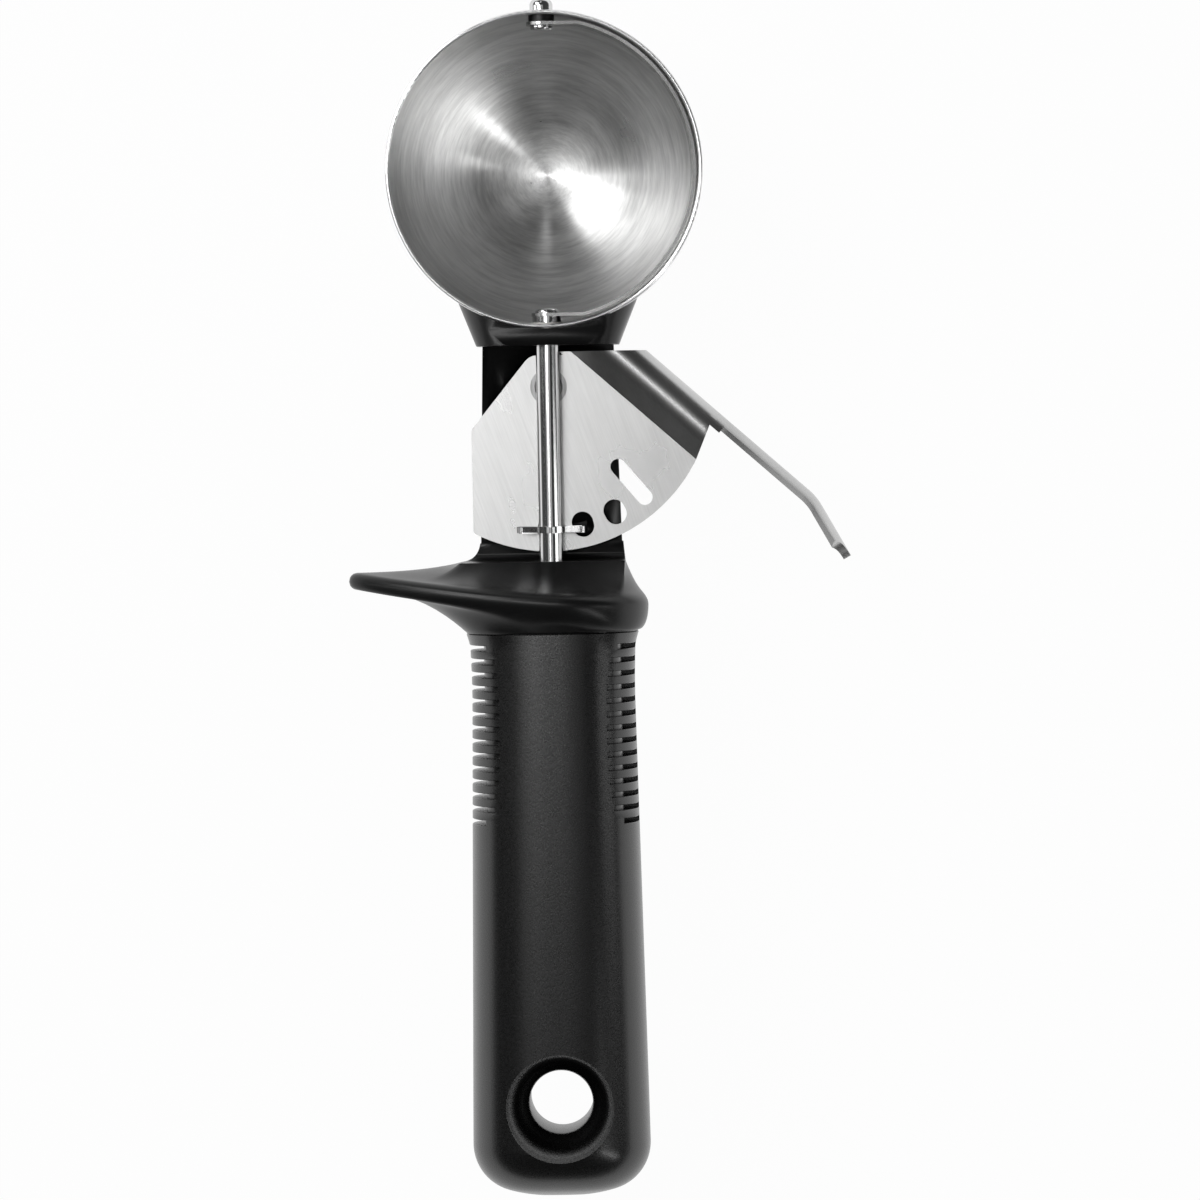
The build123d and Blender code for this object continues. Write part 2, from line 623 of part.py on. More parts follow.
# ---- Neck housing: guard, neck and the collar that cups the bowl --------------------------
# Guard: three profiles that are cut out of each other
with BuildPart() as guard:
    with BuildSketch(Plane(origin=(0, 0, SHAFT_Z - REACH / 8))) as front_outline:
        with BuildLine():
            seam_half = GRIP_SEAM_W / 2
            rake = radians(WING_RAKE)
            root = (-NECK_FOOT_HALF, LEDGE_Y + GUARD_TOP)
            wing_root = (-NECK_FOOT_HALF - WING_SWEEP, LEDGE_Y - WING_TOP)
            tip_x = -WING_TIP + WING_EDGE_R
            tip_top = (tip_x, wing_root[1] + (tip_x - wing_root[0]) * sin(rake))
            tip_end = (-WING_TIP, tip_top[1] - WING_EDGE_R)
            tip_low = (tip_x, tip_top[1] - 2 * WING_EDGE_R)
            Spline(root, wing_root, tangents=((-0.15, -1), (-1, -sin(rake))))
            Line(wing_root, tip_top)
            ThreePointArc(tip_top, tip_end, tip_low)
            Spline(
                tip_low,
                (-WING_TIP + WING_BELLY, SEAM_Y + WING_BELLY_UP),
                (-seam_half - WING_HEEL, SEAM_Y + WING_HEEL_UP),
                (-seam_half, SEAM_Y),
                tangents=((1, -0.22), (0.45, -0.9)),
            )
            Line((-seam_half, SEAM_Y), (seam_half, SEAM_Y))
            Spline(
                (seam_half, SEAM_Y),
                (GUARD_X + GUARD_R, SEAM_Y + GUARD_BELLY_UP),
                (NECK_FOOT_HALF + GUARD_WAIST, LEDGE_Y - GUARD_WAIST_DOWN),
                (NECK_FOOT_HALF, LEDGE_Y + GUARD_TOP),
                tangents=((0.4, 1), (-0.1, 1)),
            )
            Line((NECK_FOOT_HALF, LEDGE_Y + GUARD_TOP), root)
        make_face()
    extrude(amount=REACH / 4)
    with BuildSketch(Plane(origin=(0, SEAM_Y - 1, SHAFT_Z), x_dir=(1, 0, 0), z_dir=(0, 1, 0))):
        with Locations((GUARD_X, 0)):
            Circle(GUARD_R)
        with Locations((-WING_TIP + WING_TIP_R, 0)):
            Circle(WING_TIP_R)
        make_hull()
    extrude(amount=REACH / 8, mode=Mode.INTERSECT)
    with BuildSketch(SIDE) as guard_side:
        with BuildLine():
            seam_front = GRIP_THICK / 2
            rim_y = SEAM_Y + GUARD_RIM_UP
            rim_z = GUARD_R + GUARD_RIM_OVER
            ramp_y = LEDGE_Y + LEDGE_RAKE
            Line((SEAM_Y, -seam_front), (SEAM_Y, seam_front))
            Spline(
                (SEAM_Y, seam_front),
                (rim_y - GUARD_RIM_ROUND, rim_z - GUARD_RIM_ROUND * 0.45),
                (rim_y, rim_z),
                tangents=((0.7, 0.7), (1, 0.1)),
            )
            Line((rim_y, rim_z), (rim_y + GUARD_RIM_FLAT, rim_z))
            Spline(
                (rim_y + GUARD_RIM_FLAT, rim_z),
                (LEDGE_Y - GUARD_FACE_DOWN, GUARD_FACE_Z),
                (LEDGE_Y, LEDGE_DEPTH),
                tangents=((0.2, -1), (1, -0.7)),
            )
            Line((LEDGE_Y, LEDGE_DEPTH), (ramp_y, NECK_FACE_Z + RAMP_FOOT))
            RadiusArc((ramp_y, NECK_FACE_Z + RAMP_FOOT), (ramp_y + RAMP_FOOT, NECK_FACE_Z), -RAMP_FOOT)
            Polyline(
                (ramp_y + RAMP_FOOT, NECK_FACE_Z),
                (LEDGE_Y + GUARD_TOP, NECK_FACE_Z),
                (LEDGE_Y + GUARD_TOP, NECK_BACK_Z),
            )
            Spline(
                (LEDGE_Y + GUARD_TOP, NECK_BACK_Z),
                (LEDGE_Y - GUARD_BACK_DOWN, -rim_z),
                tangents=((-1, -0.1), (-0.4, -1)),
            )
            Line((LEDGE_Y - GUARD_BACK_DOWN, -rim_z), (rim_y, -rim_z))
            Spline(
                (rim_y, -rim_z),
                (SEAM_Y, -seam_front),
                tangents=((-1, 0.1), (-0.7, 0.7)),
            )
        make_face()
    extrude(amount=REACH / 4, both=True, mode=Mode.INTERSECT)

# Neck: a column open to the front, with a round back
neck_depth = NECK_FACE_Z - NECK_BACK_Z
with BuildPart() as neck_column:
    for station, half_width in ((LEDGE_Y - NECK_IN_GUARD, NECK_FOOT_HALF), (COLLAR_Y, NECK_TOP_HALF)):
        with BuildSketch(across(station)):
            with Locations((0, -NECK_FACE_Z)):
                RectangleRounded(2 * half_width, 2 * neck_depth, NECK_ROUND)
    loft(ruled=True)
    with BuildSketch(level(NECK_FACE_Z)):
        Rectangle(REACH, REACH)
    extrude(amount=REACH / 8, mode=Mode.SUBTRACT)

# Collar: flares from the neck and cups the bowl
collar_spread = (COLLAR_TOP_HALF - COLLAR_FOOT_HALF) / COLLAR_RISE
with BuildPart() as collar:
    for rise, low, rounding in ((0, COLLAR_BACK_Z, COLLAR_ROUND), (CRADLE_RISE, CRADLE_BACK_Z, CRADLE_ROUND)):
        with BuildSketch(across(COLLAR_Y + rise)):
            with Locations((0, -(COLLAR_FRONT_Z + low) / 2)):
                RectangleRounded(
                    2 * (COLLAR_FOOT_HALF + collar_spread * rise), COLLAR_FRONT_Z - low, rounding
                )
    loft(ruled=True)
    # The front slopes back to just above the bowl's rim
    with BuildSketch(SIDE):
        with BuildLine():
            Polyline(
                (COLLAR_Y, COLLAR_FRONT_Z),
                (BOWL_Y - BOWL_R, BOWL_LIP + COLLAR_OVER_RIM),
                (BOWL_Y, BOWL_LIP + COLLAR_OVER_RIM),
                (BOWL_Y, COLLAR_FRONT_Z + 1),
                (COLLAR_Y, COLLAR_FRONT_Z + 1),
                close=True,
            )
        make_face()
    extrude(amount=REACH / 8, both=True, mode=Mode.SUBTRACT)

with BuildPart() as neck_housing:
    add(neck_column.part)
    add(collar.part)
    add(guard.part)
    add(bowl_seat.part, mode=Mode.SUBTRACT)
    add(bowl_tang.part, mode=Mode.SUBTRACT)
    # Pockets for the return spring and for the star wheel's teeth
    with BuildSketch(level(SPRING_FLOOR_Z)):
        Circle(SPRING_POCKET_R)
        with Locations((SPRING_COIL_R, 0)):
            Rectangle(
                2 * (SPRING_WIRE_R + SPRING_LEG_PLAY),
                SPRING_LEG + SPRING_LEG_PLAY,
                align=(Align.CENTER, Align.MAX),
            )
    extrude(amount=SPRING_POCKET_DEPTH, mode=Mode.SUBTRACT)
    with BuildSketch(Plane(origin=(0, STAR_Y, SHAFT_Z + NECK_FACE_Z))):
        SlotOverall(2 * STAR_TIP_R + 2, STAR_T + 2 * STAR_POCKET_PLAY)
    extrude(amount=-STAR_POCKET_DEPTH, mode=Mode.SUBTRACT)
    # Rivet hole, shaft way, bushing seats and clip pocket
    with BuildSketch(level(-REACH / 8)):
        Circle(RIVET_R)
    extrude(amount=REACH / 8, mode=Mode.SUBTRACT)
    with BuildSketch(across(SEAM_Y)):
        Circle(SHAFT_R + 4 * SHAFT_PLAY)
    extrude(amount=BOWL_Y - SEAM_Y, mode=Mode.SUBTRACT)
    with BuildSketch(across(LOWER_BUSH_Y)):
        Circle(BUSH_R)
    extrude(amount=BUSH_LENGTH, mode=Mode.SUBTRACT)
    with BuildSketch(across(UPPER_BUSH_Y)):
        Circle(BUSH_R)
    extrude(amount=BOWL_Y - UPPER_BUSH_Y, mode=Mode.SUBTRACT)
    with BuildSketch(across(SEAM_Y)):
        Circle(CLIP_POCKET_R)
    extrude(amount=LOWER_BUSH_Y - SEAM_Y, mode=Mode.SUBTRACT)

# ---- Grip --------------------------------------------------------------------------------
with BuildPart() as grip_core:
    with BuildSketch(across(CORE_FOOT)):
        RectangleRounded(CORE_W, CORE_T, CORE_ROUND)
    extrude(amount=SEAM_Y - CORE_FOOT)
    add(bowl_tang.part, mode=Mode.SUBTRACT)
    add(tang_pins.part, mode=Mode.SUBTRACT)

with BuildPart() as fin_slots:
    first = SEAM_Y - FIN_FIRST
    last = first - (FIN_COUNT - 1) * FIN_PITCH
    with BuildSketch(Plane.XY):
        with Locations((0, (first + last) / 2)):
            with GridLocations(0, FIN_PITCH, 1, FIN_COUNT):
                Rectangle(2 * GRIP_HOLE_W, FIN_GAP)
    extrude(amount=GRIP_THICK)
    with BuildSketch(Plane.XY):
        with Locations((-GRIP_WAIST_W / 2, (first + last) / 2), (GRIP_WAIST_W / 2, (first + last) / 2)):
            Ellipse(GRIP_WAIST_W / 2 - FIN_FLOOR_FRONT_HALF, (first - last) / 2 + FIN_FIELD_OVER)
    extrude(amount=GRIP_THICK, mode=Mode.INTERSECT)
    floor_half = (GRIP_THICK / 2) / sqrt(1 - (FIN_FLOOR_FRONT_HALF / FIN_FLOOR_HALF) ** 2)
    with BuildSketch(across(last - FIN_PITCH)):
        Ellipse(FIN_FLOOR_HALF, floor_half)
    extrude(amount=first - last + 2 * FIN_PITCH, mode=Mode.SUBTRACT)

with BuildPart() as grip_sleeve:
    with BuildSketch(across(-END_TO_HOLE)):
        RectangleRounded(GRIP_HOLE_W, GRIP_THICK, GRIP_ROUND)
    with BuildSketch(across(0)):
        RectangleRounded(GRIP_HOLE_W, GRIP_THICK, GRIP_ROUND)
    with BuildSketch(across(GRIP_WAIST_AT)):
        RectangleRounded(GRIP_WAIST_W, GRIP_THICK, GRIP_ROUND)
    with BuildSketch(across(SEAM_Y)):
        RectangleRounded(GRIP_SEAM_W, GRIP_THICK, GRIP_ROUND)
    loft()
    fillet(grip_sleeve.faces().sort_by(Axis.Y)[0].edges(), radius=GRIP_END_ROUND)
    add(grip_core.part, mode=Mode.SUBTRACT)
    add(bowl_tang.part, mode=Mode.SUBTRACT)
    add(tang_pins.part, mode=Mode.SUBTRACT)
    add(fin_slots.part, mode=Mode.SUBTRACT)
    with BuildSketch(Plane.XY.offset(GRIP_THICK)):
        Circle(HOLE_MOUTH_R)
    with BuildSketch(Plane.XY.offset(HOLE_LAND)):
        Circle(HOLE_R)
    loft(mode=Mode.SUBTRACT)
    with BuildSketch(Plane.XY):
        Circle(HOLE_R)
    extrude(amount=HOLE_LAND, mode=Mode.SUBTRACT)

# ---- Export ------------------------------------------------------------------------------
PIECES = {
    "bowl": bowl,
    "bowl_tang": bowl_tang,
    "drive_shaft": drive_shaft,
    "front_washer": front_washer,
    "grip_core": grip_core,
    "grip_sleeve": grip_sleeve,
    "hub_washer": hub_washer,
    "lever_rivet": lever_rivet,
    "lower_bushing": lower_bushing,
    "neck_housing": neck_housing,
    "rear_washer": rear_washer,
    "return_spring": return_spring,
    "shaft_clip": shaft_clip,
    "spacing_bush": spacing_bush,
    "star_wheel": star_wheel,
    "sweep_blade": sweep_blade,
    "tang_pins": tang_pins,
    "top_pivot_pin": top_pivot_pin,
    "top_spacer": top_spacer,
    "trigger_lever": trigger_lever,
    "upper_bushing": upper_bushing,
}

os.makedirs("parts", exist_ok=True)
for name, piece in PIECES.items():
    piece.part.label = name
    export_step(piece.part, f"parts/{name}.step")
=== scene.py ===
"""Lever ice cream scoop: finishes, guard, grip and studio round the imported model."""
import logging
import math
from dataclasses import dataclass, field
from enum import Enum
from typing import Any, Iterable, Sequence

import bmesh
import bpy
from mathutils import Matrix, Vector


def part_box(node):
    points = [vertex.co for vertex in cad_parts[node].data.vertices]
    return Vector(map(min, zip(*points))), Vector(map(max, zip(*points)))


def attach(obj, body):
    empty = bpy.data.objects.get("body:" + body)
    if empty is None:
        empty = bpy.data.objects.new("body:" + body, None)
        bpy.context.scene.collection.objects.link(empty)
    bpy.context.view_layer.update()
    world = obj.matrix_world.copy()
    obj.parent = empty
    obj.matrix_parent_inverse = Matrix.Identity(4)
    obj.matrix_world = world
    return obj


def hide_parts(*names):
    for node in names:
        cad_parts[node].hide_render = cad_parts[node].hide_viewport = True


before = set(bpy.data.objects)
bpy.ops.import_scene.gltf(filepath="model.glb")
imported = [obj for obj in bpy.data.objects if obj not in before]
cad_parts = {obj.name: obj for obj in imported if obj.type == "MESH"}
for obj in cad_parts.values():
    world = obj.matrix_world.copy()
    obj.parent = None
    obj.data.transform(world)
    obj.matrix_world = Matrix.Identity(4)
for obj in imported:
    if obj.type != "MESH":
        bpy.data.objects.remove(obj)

LOG = logging.getLogger("scoop")
MM = 0.001
TINY = 1e-6  # metres; points closer than this are one
CREASE_DEGREES = 30.0  # edges sharper than this stay sharp
HANDLE = "handle"  # the body that the new pieces ride on
FAR = 1.0  # metres, beyond every surface

Colour = tuple[float, float, float]
Pair = tuple[float, float]
Stops = Sequence[Pair]


class Slot(Enum):
    """The record's material slot names."""

    NECK = "neck_plastic"
    GRIP = "soft_grip"


# ---- Shader maths ------------------------------------------------------------------------
class Wire:
    """A number that varies over a surface; arithmetic on it adds Math nodes."""

    def __init__(self, shading: "Shading", socket: bpy.types.NodeSocket) -> None:
        """Wraps an output socket of the shading's tree."""
        self.shading = shading
        self.socket = socket

    def math(self, operation: str, *others: "Wire | float", first: bool = True) -> "Wire":
        """Adds one Math node.

        Args:
            operation: The Math node's operation.
            others: Its other inputs.
            first: False where this value is the second input.

        Returns:
            The node's result.
        """
        inputs: list[Any] = [self, *others] if first else [*others, self]
        sockets = dict(enumerate(inputs))
        node = self.shading.node("ShaderNodeMath", {"operation": operation}, sockets)
        return Wire(self.shading, node.outputs[0])

    def __add__(self, other: "Wire | float") -> "Wire":
        """Sum."""
        return self.math("ADD", other)

    __radd__ = __add__

    def __sub__(self, other: "Wire | float") -> "Wire":
        """Difference."""
        return self.math("SUBTRACT", other)

    def __rsub__(self, other: float) -> "Wire":
        """Difference from a number."""
        return self.math("SUBTRACT", other, first=False)

    def __mul__(self, other: "Wire | float") -> "Wire":
        """Product."""
        return self.math("MULTIPLY", other)

    __rmul__ = __mul__

    def __truediv__(self, other: "Wire | float") -> "Wire":
        """Quotient."""
        return self.math("DIVIDE", other)

    def clamp(self) -> "Wire":
        """The value kept from 0 to 1."""
        return self.math("MAXIMUM", 0.0).math("MINIMUM", 1.0)

    def step(self, low: float, high: float) -> "Wire":
        """A smooth step.

        Args:
            low: Where the result is 0.
            high: Where the result is 1.

        Returns:
            The eased share of the way from low to high.
        """
        share = ((self - low) / (high - low)).clamp()
        return share * share * (3.0 - 2.0 * share)


class Shading:
    """A node tree under construction, of a material or of the world."""

    def __init__(self, owner: bpy.types.Material | bpy.types.World) -> None:
        """Empties the owner's node tree.

        Args:
            owner: The material or the world.
        """
        owner.use_nodes = True
        self.owner = owner
        self.tree = owner.node_tree
        self.tree.nodes.clear()

    def node(
        self,
        kind: str,
        settings: dict[str, Any] | None = None,
        sockets: dict[int | str, Any] | None = None,
    ) -> bpy.types.Node:
        """Adds a node.

        Args:
            kind: The node's type.
            settings: Its properties; "stops" are a colour ramp's places and values.
            sockets: Values or links of its inputs, by name or number.

        Returns:
            The node.
        """
        node = self.tree.nodes.new(kind)
        for name, value in (settings or {}).items():
            if name == "stops":
                self._set_stops(node.color_ramp, value)
            else:
                setattr(node, name, value)
        for key, value in (sockets or {}).items():
            if isinstance(value, Wire):
                value = value.socket
            if isinstance(value, bpy.types.NodeSocket):
                self.tree.links.new(value, node.inputs[key])
            else:
                node.inputs[key].default_value = value
        return node

    @staticmethod
    def _set_stops(ramp: bpy.types.ColorRamp, stops: Stops) -> None:
        """Sets a ramp's stops to greys.

        Args:
            ramp: The ramp, which has two stops so far.
            stops: The place and the value of each.
        """
        while len(ramp.elements) < len(stops):
            ramp.elements.new(1.0)
        for element, (place, value) in zip(ramp.elements, stops):
            element.position = place
            element.color = (value, value, value, 1.0)

    def wire(self, node: bpy.types.Node, output: int | str = 0) -> Wire:
        """One output of a node as a number."""
        return Wire(self, node.outputs[output])

    def position(self) -> bpy.types.NodeSocket:
        """Object coordinates."""
        return self.node("ShaderNodeTexCoord").outputs["Object"]

    def split(self, vector: bpy.types.NodeSocket) -> tuple[Wire, Wire, Wire]:
        """A vector's three numbers."""
        node = self.node("ShaderNodeSeparateXYZ", None, {0: vector})
        return self.wire(node, 0), self.wire(node, 1), self.wire(node, 2)

    def join(self, x: Wire | float, y: Wire | float, z: Wire | float) -> bpy.types.NodeSocket:
        """A vector of three numbers."""
        return self.node("ShaderNodeCombineXYZ", None, {0: x, 1: y, 2: z}).outputs[0]

    def stretch(
        self, vector: bpy.types.NodeSocket, scale: Sequence[float], turn: float = 0.0
    ) -> bpy.types.NodeSocket:
        """A vector turned about Z and then scaled.

        Args:
            vector: The vector.
            scale: Its three scales.
            turn: The turn in degrees.

        Returns:
            The new vector.
        """
        point = {"vector_type": "POINT"}
        rotation = (0.0, 0.0, math.radians(turn))
        turned = self.node("ShaderNodeMapping", point, {"Vector": vector, "Rotation": rotation})
        sockets = {"Vector": turned.outputs[0], "Scale": tuple(scale)}
        return self.node("ShaderNodeMapping", point, sockets).outputs[0]

    def noise(
        self, vector: bpy.types.NodeSocket, scale: float, detail: float = 2.0, rough: float = 0.5
    ) -> Wire:
        """Noise from 0 to 1.

        Args:
            vector: Where it is read.
            scale: Its scale.
            detail: Its octaves.
            rough: How much the finer octaves count.

        Returns:
            The noise.
        """
        node = self.node(
            "ShaderNodeTexNoise",
            {"noise_dimensions": "3D"},
            {"Vector": vector, "Scale": scale, "Detail": detail, "Roughness": rough},
        )
        return self.wire(node, 0)

    def mix(
        self, share: Wire, low: bpy.types.NodeSocket | Colour, high: Colour
    ) -> bpy.types.NodeSocket:
        """Two colours mixed by a share.

        Args:
            share: How much of the second colour shows.
            low: The first colour, fixed or from another node.
            high: The second colour.

        Returns:
            The mixed colour.
        """
        start = low if isinstance(low, bpy.types.NodeSocket) else (*low, 1.0)
        sockets = {0: share, 6: start, 7: (*high, 1.0)}
        return self.node("ShaderNodeMix", {"data_type": "RGBA"}, sockets).outputs[2]

    def bump(self, height: Wire, distance: float, strength: float = 1.0) -> bpy.types.NodeSocket:
        """A normal from a height.

        Args:
            height: The height, from 0 to 1.
            distance: The height of 1, in metres.
            strength: How much of it shows.

        Returns:
            The normal.
        """
        sockets = {"Height": height, "Distance": distance, "Strength": strength}
        return self.node("ShaderNodeBump", None, sockets).outputs[0]

    def surface(self, sockets: dict[int | str, Any]) -> None:
        """Ends a material in one Principled shader.

        Args:
            sockets: Its values and links.
        """
        shader = self.node("ShaderNodeBsdfPrincipled", None, sockets)
        self.node("ShaderNodeOutputMaterial", None, {"Surface": shader.outputs[0]})


def new_shading(name: str) -> Shading:
    """Starts a material of that name."""
    return Shading(bpy.data.materials.new(name))


# ---- Finishes ----------------------------------------------------------------------------
@dataclass(frozen=True)
class SpunSteel:
    """Stainless steel spun on a chuck: fine rings round an upright axis."""

    name: str
    axis: Pair
    mouth_z: float
    dark: Colour = (0.58, 0.58, 0.577)
    pale: Colour = (0.86, 0.86, 0.855)
    # Painted highlight: a near-white rim colour, for the bright line that light draws along the
    # polished lip
    rim: Colour = (0.96, 0.96, 0.96)
    rim_highlight_below: Pair = (0.0005, 0.0003)  # below the mouth, where the painted highlight of the polished rim fades in
    roughness: float = 0.30
    roughness_spread: float = 0.12
    anisotropy: float = 0.88
    anisotropy_turn: float = 0.25  # brushed round the axis
    ring_scales: Pair = (1500.0, 2.2)  # fine rings, along the radius and round it
    band_scales: Pair = (260.0, 1.2)  # broad bands
    ring_share: float = 0.65
    depth: float = 0.00001

    def material(self) -> bpy.types.Material:
        """Builds the material.

        Returns:
            The material.
        """
        make = new_shading(self.name)
        x, y, z = make.split(make.position())
        x, y = x - self.axis[0], y - self.axis[1]
        radius = (x * x + y * y).math("SQRT")
        reach = radius + TINY

        def swept(scales: Pair) -> bpy.types.NodeSocket:
            """Coordinates that change fast along the radius and slowly round the axis."""
            return make.join(radius * scales[0], x / reach * scales[1], y / reach * scales[1])

        rings = make.noise(swept(self.ring_scales), 1.0, 3.0, 0.7)
        bands = make.noise(swept(self.band_scales), 1.0, 2.0)
        tone = (rings * self.ring_share + bands * (1.0 - self.ring_share)).step(0.3, 0.7)
        # Painted highlight: the top of the rim is painted near-white
        rim = z.step(self.mouth_z - self.rim_highlight_below[0], self.mouth_z - self.rim_highlight_below[1])
        make.surface({
            "Base Color": make.mix(rim, make.mix(tone, self.dark, self.pale), self.rim),
            "Metallic": 1.0,
            "Roughness": self.roughness + (bands - 0.5) * self.roughness_spread,
            "Anisotropic": self.anisotropy,
            "Anisotropic Rotation": self.anisotropy_turn,
            "Normal": make.bump(rings, self.depth, 0.5),
        })
        return make.owner


@dataclass(frozen=True)
class BrushedSteel:
    """Sheet steel brushed along one direction of its own plane, with a rough sheared edge that
    is painted dark as shade.
    """

    name: str
    turn: float = 0.0
    dark: Colour = (0.44, 0.44, 0.438)
    pale: Colour = (0.62, 0.62, 0.617)
    # Painted shade: near-black on the rough sheared edge, for the shade it lies in
    sheared_edge_shade: Colour = (0.13, 0.13, 0.129)
    edge_shade_z: float = FAR  # the lever's top; the faces below it are painted dark as shade
    edge_shade_x: float = FAR  # where that painted shade starts along x
    edge_shade_depth: Pair = (0.00008, 0.00004)
    edge_shade_fade: float = 0.001
    sheared_rough: float = 0.15
    roughness: float = 0.29
    roughness_spread: float = 0.18
    line_scale: tuple[float, float, float] = (4200.0, 90.0, 4200.0)
    cloud_scale: tuple[float, float, float] = (90.0, 40.0, 90.0)
    line_share: float = 0.25
    burr_scale: float = 1500.0
    burr_share: float = 0.4
    depth: float = 0.000004

    def material(self) -> bpy.types.Material:
        """Builds the material.

        Returns:
            The material.
        """
        make = new_shading(self.name)
        place = make.position()
        lines = make.noise(make.stretch(place, self.line_scale, self.turn), 1.0, 2.0, 0.6)
        cloud = make.noise(make.stretch(place, self.cloud_scale, self.turn), 1.0, 3.0)
        tone = (lines * self.line_share + cloud * (1.0 - self.line_share)).step(0.25, 0.75)
        x, _, z = make.split(place)
        deep, shallow = self.edge_shade_depth
        # Painted shade: darkens what lies below the lever's top past the arm's start, broken up
        # by the burr
        edge = z.step(self.edge_shade_z - deep, self.edge_shade_z - shallow)
        edge = edge * x.step(self.edge_shade_x, self.edge_shade_x + self.edge_shade_fade)
        burr = make.noise(place, self.burr_scale, 3.0, 0.7).step(0.3, 0.7)
        face = make.mix(tone, self.dark, self.pale)
        spread = (cloud - 0.5) * self.roughness_spread
        make.surface({
            "Base Color": make.mix(edge * (1.0 - burr * self.burr_share), face, self.sheared_edge_shade),
            "Metallic": 1.0,
            "Roughness": self.roughness + spread + edge * self.sheared_rough,
            "Normal": make.bump(lines, self.depth, 0.25),
        })
        return make.owner


@dataclass(frozen=True)
class PolishedSteel:
    """Turned and polished steel, with faint marks."""

    name: str
    dark: Colour = (0.66, 0.66, 0.66)
    pale: Colour = (0.74, 0.74, 0.74)
    roughness: float = 0.13
    roughness_spread: float = 0.05
    mark_scale: tuple[float, float, float] = (1800.0, 60.0, 1800.0)
    depth: float = 0.000001

    def material(self) -> bpy.types.Material:
        """Builds the material.

        Returns:
            The material.
        """
        make = new_shading(self.name)
        marks = make.noise(make.stretch(make.position(), self.mark_scale), 1.0, 2.0, 0.5)
        make.surface({
            "Base Color": make.mix(marks.step(0.35, 0.65), self.dark, self.pale),
            "Metallic": 1.0,
            "Roughness": self.roughness + (marks - 0.5) * self.roughness_spread,
            "Normal": make.bump(marks, self.depth, 0.1),
        })
        return make.owner


@dataclass(frozen=True)
class Moulded:
    """A moulded material with a fine grain and faint clouds in its tone."""

    name: str
    dark: Colour = (0.004, 0.004, 0.0042)
    pale: Colour = (0.007, 0.007, 0.0072)
    tone_steps: Pair = (0.3, 0.7)
    roughness: float = 0.33
    grain_roughness: float = 0.06
    cloud_roughness: float = 0.10
    specular: float = 0.4
    grain: tuple[float, float, float] = (2600.0, 2.0, 0.6)  # scale, detail and roughness
    cloud: tuple[float, float, float] = (130.0, 3.0, 0.55)
    grain_share: float = 0.6
    depth: float = 0.00001
    strength: float = 0.5

    def material(self) -> bpy.types.Material:
        """Builds the material.

        Returns:
            The material.
        """
        make = new_shading(self.name)
        place = make.position()
        grain = make.noise(place, *self.grain)
        cloud = make.noise(place, *self.cloud)
        tone = grain * self.grain_share + cloud * (1.0 - self.grain_share)
        spread = (cloud - 0.5) * self.cloud_roughness + (grain - 0.5) * self.grain_roughness
        make.surface({
            "Base Color": make.mix(tone.step(*self.tone_steps), self.dark, self.pale),
            "Roughness": self.roughness + spread,
            "Specular IOR Level": self.specular,
            "Normal": make.bump(grain, self.depth, self.strength),
        })
        return make.owner


@dataclass(frozen=True)
class SoftRubber(Moulded):
    """Thermoplastic rubber, whose coarser grain sparkles."""

    dark: Colour = (0.002, 0.002, 0.0021)
    tone_steps: Pair = (0.3, 0.75)
    roughness: float = 0.28
    grain_roughness: float = 0.16
    cloud_roughness: float = 0.0
    specular: float = 0.75
    grain: tuple[float, float, float] = (2300.0, 3.0, 0.65)
    cloud: tuple[float, float, float] = (90.0, 3.0, 0.5)
    grain_share: float = 0.75
    depth: float = 0.00003
    strength: float = 0.45


# ---- Studio ------------------------------------------------------------------------------
@dataclass
class Lamp:
    """One softbox: its place, its width and height, and its radiance."""

    name: str
    place: tuple[float, float, float]
    size: Pair
    glow: float


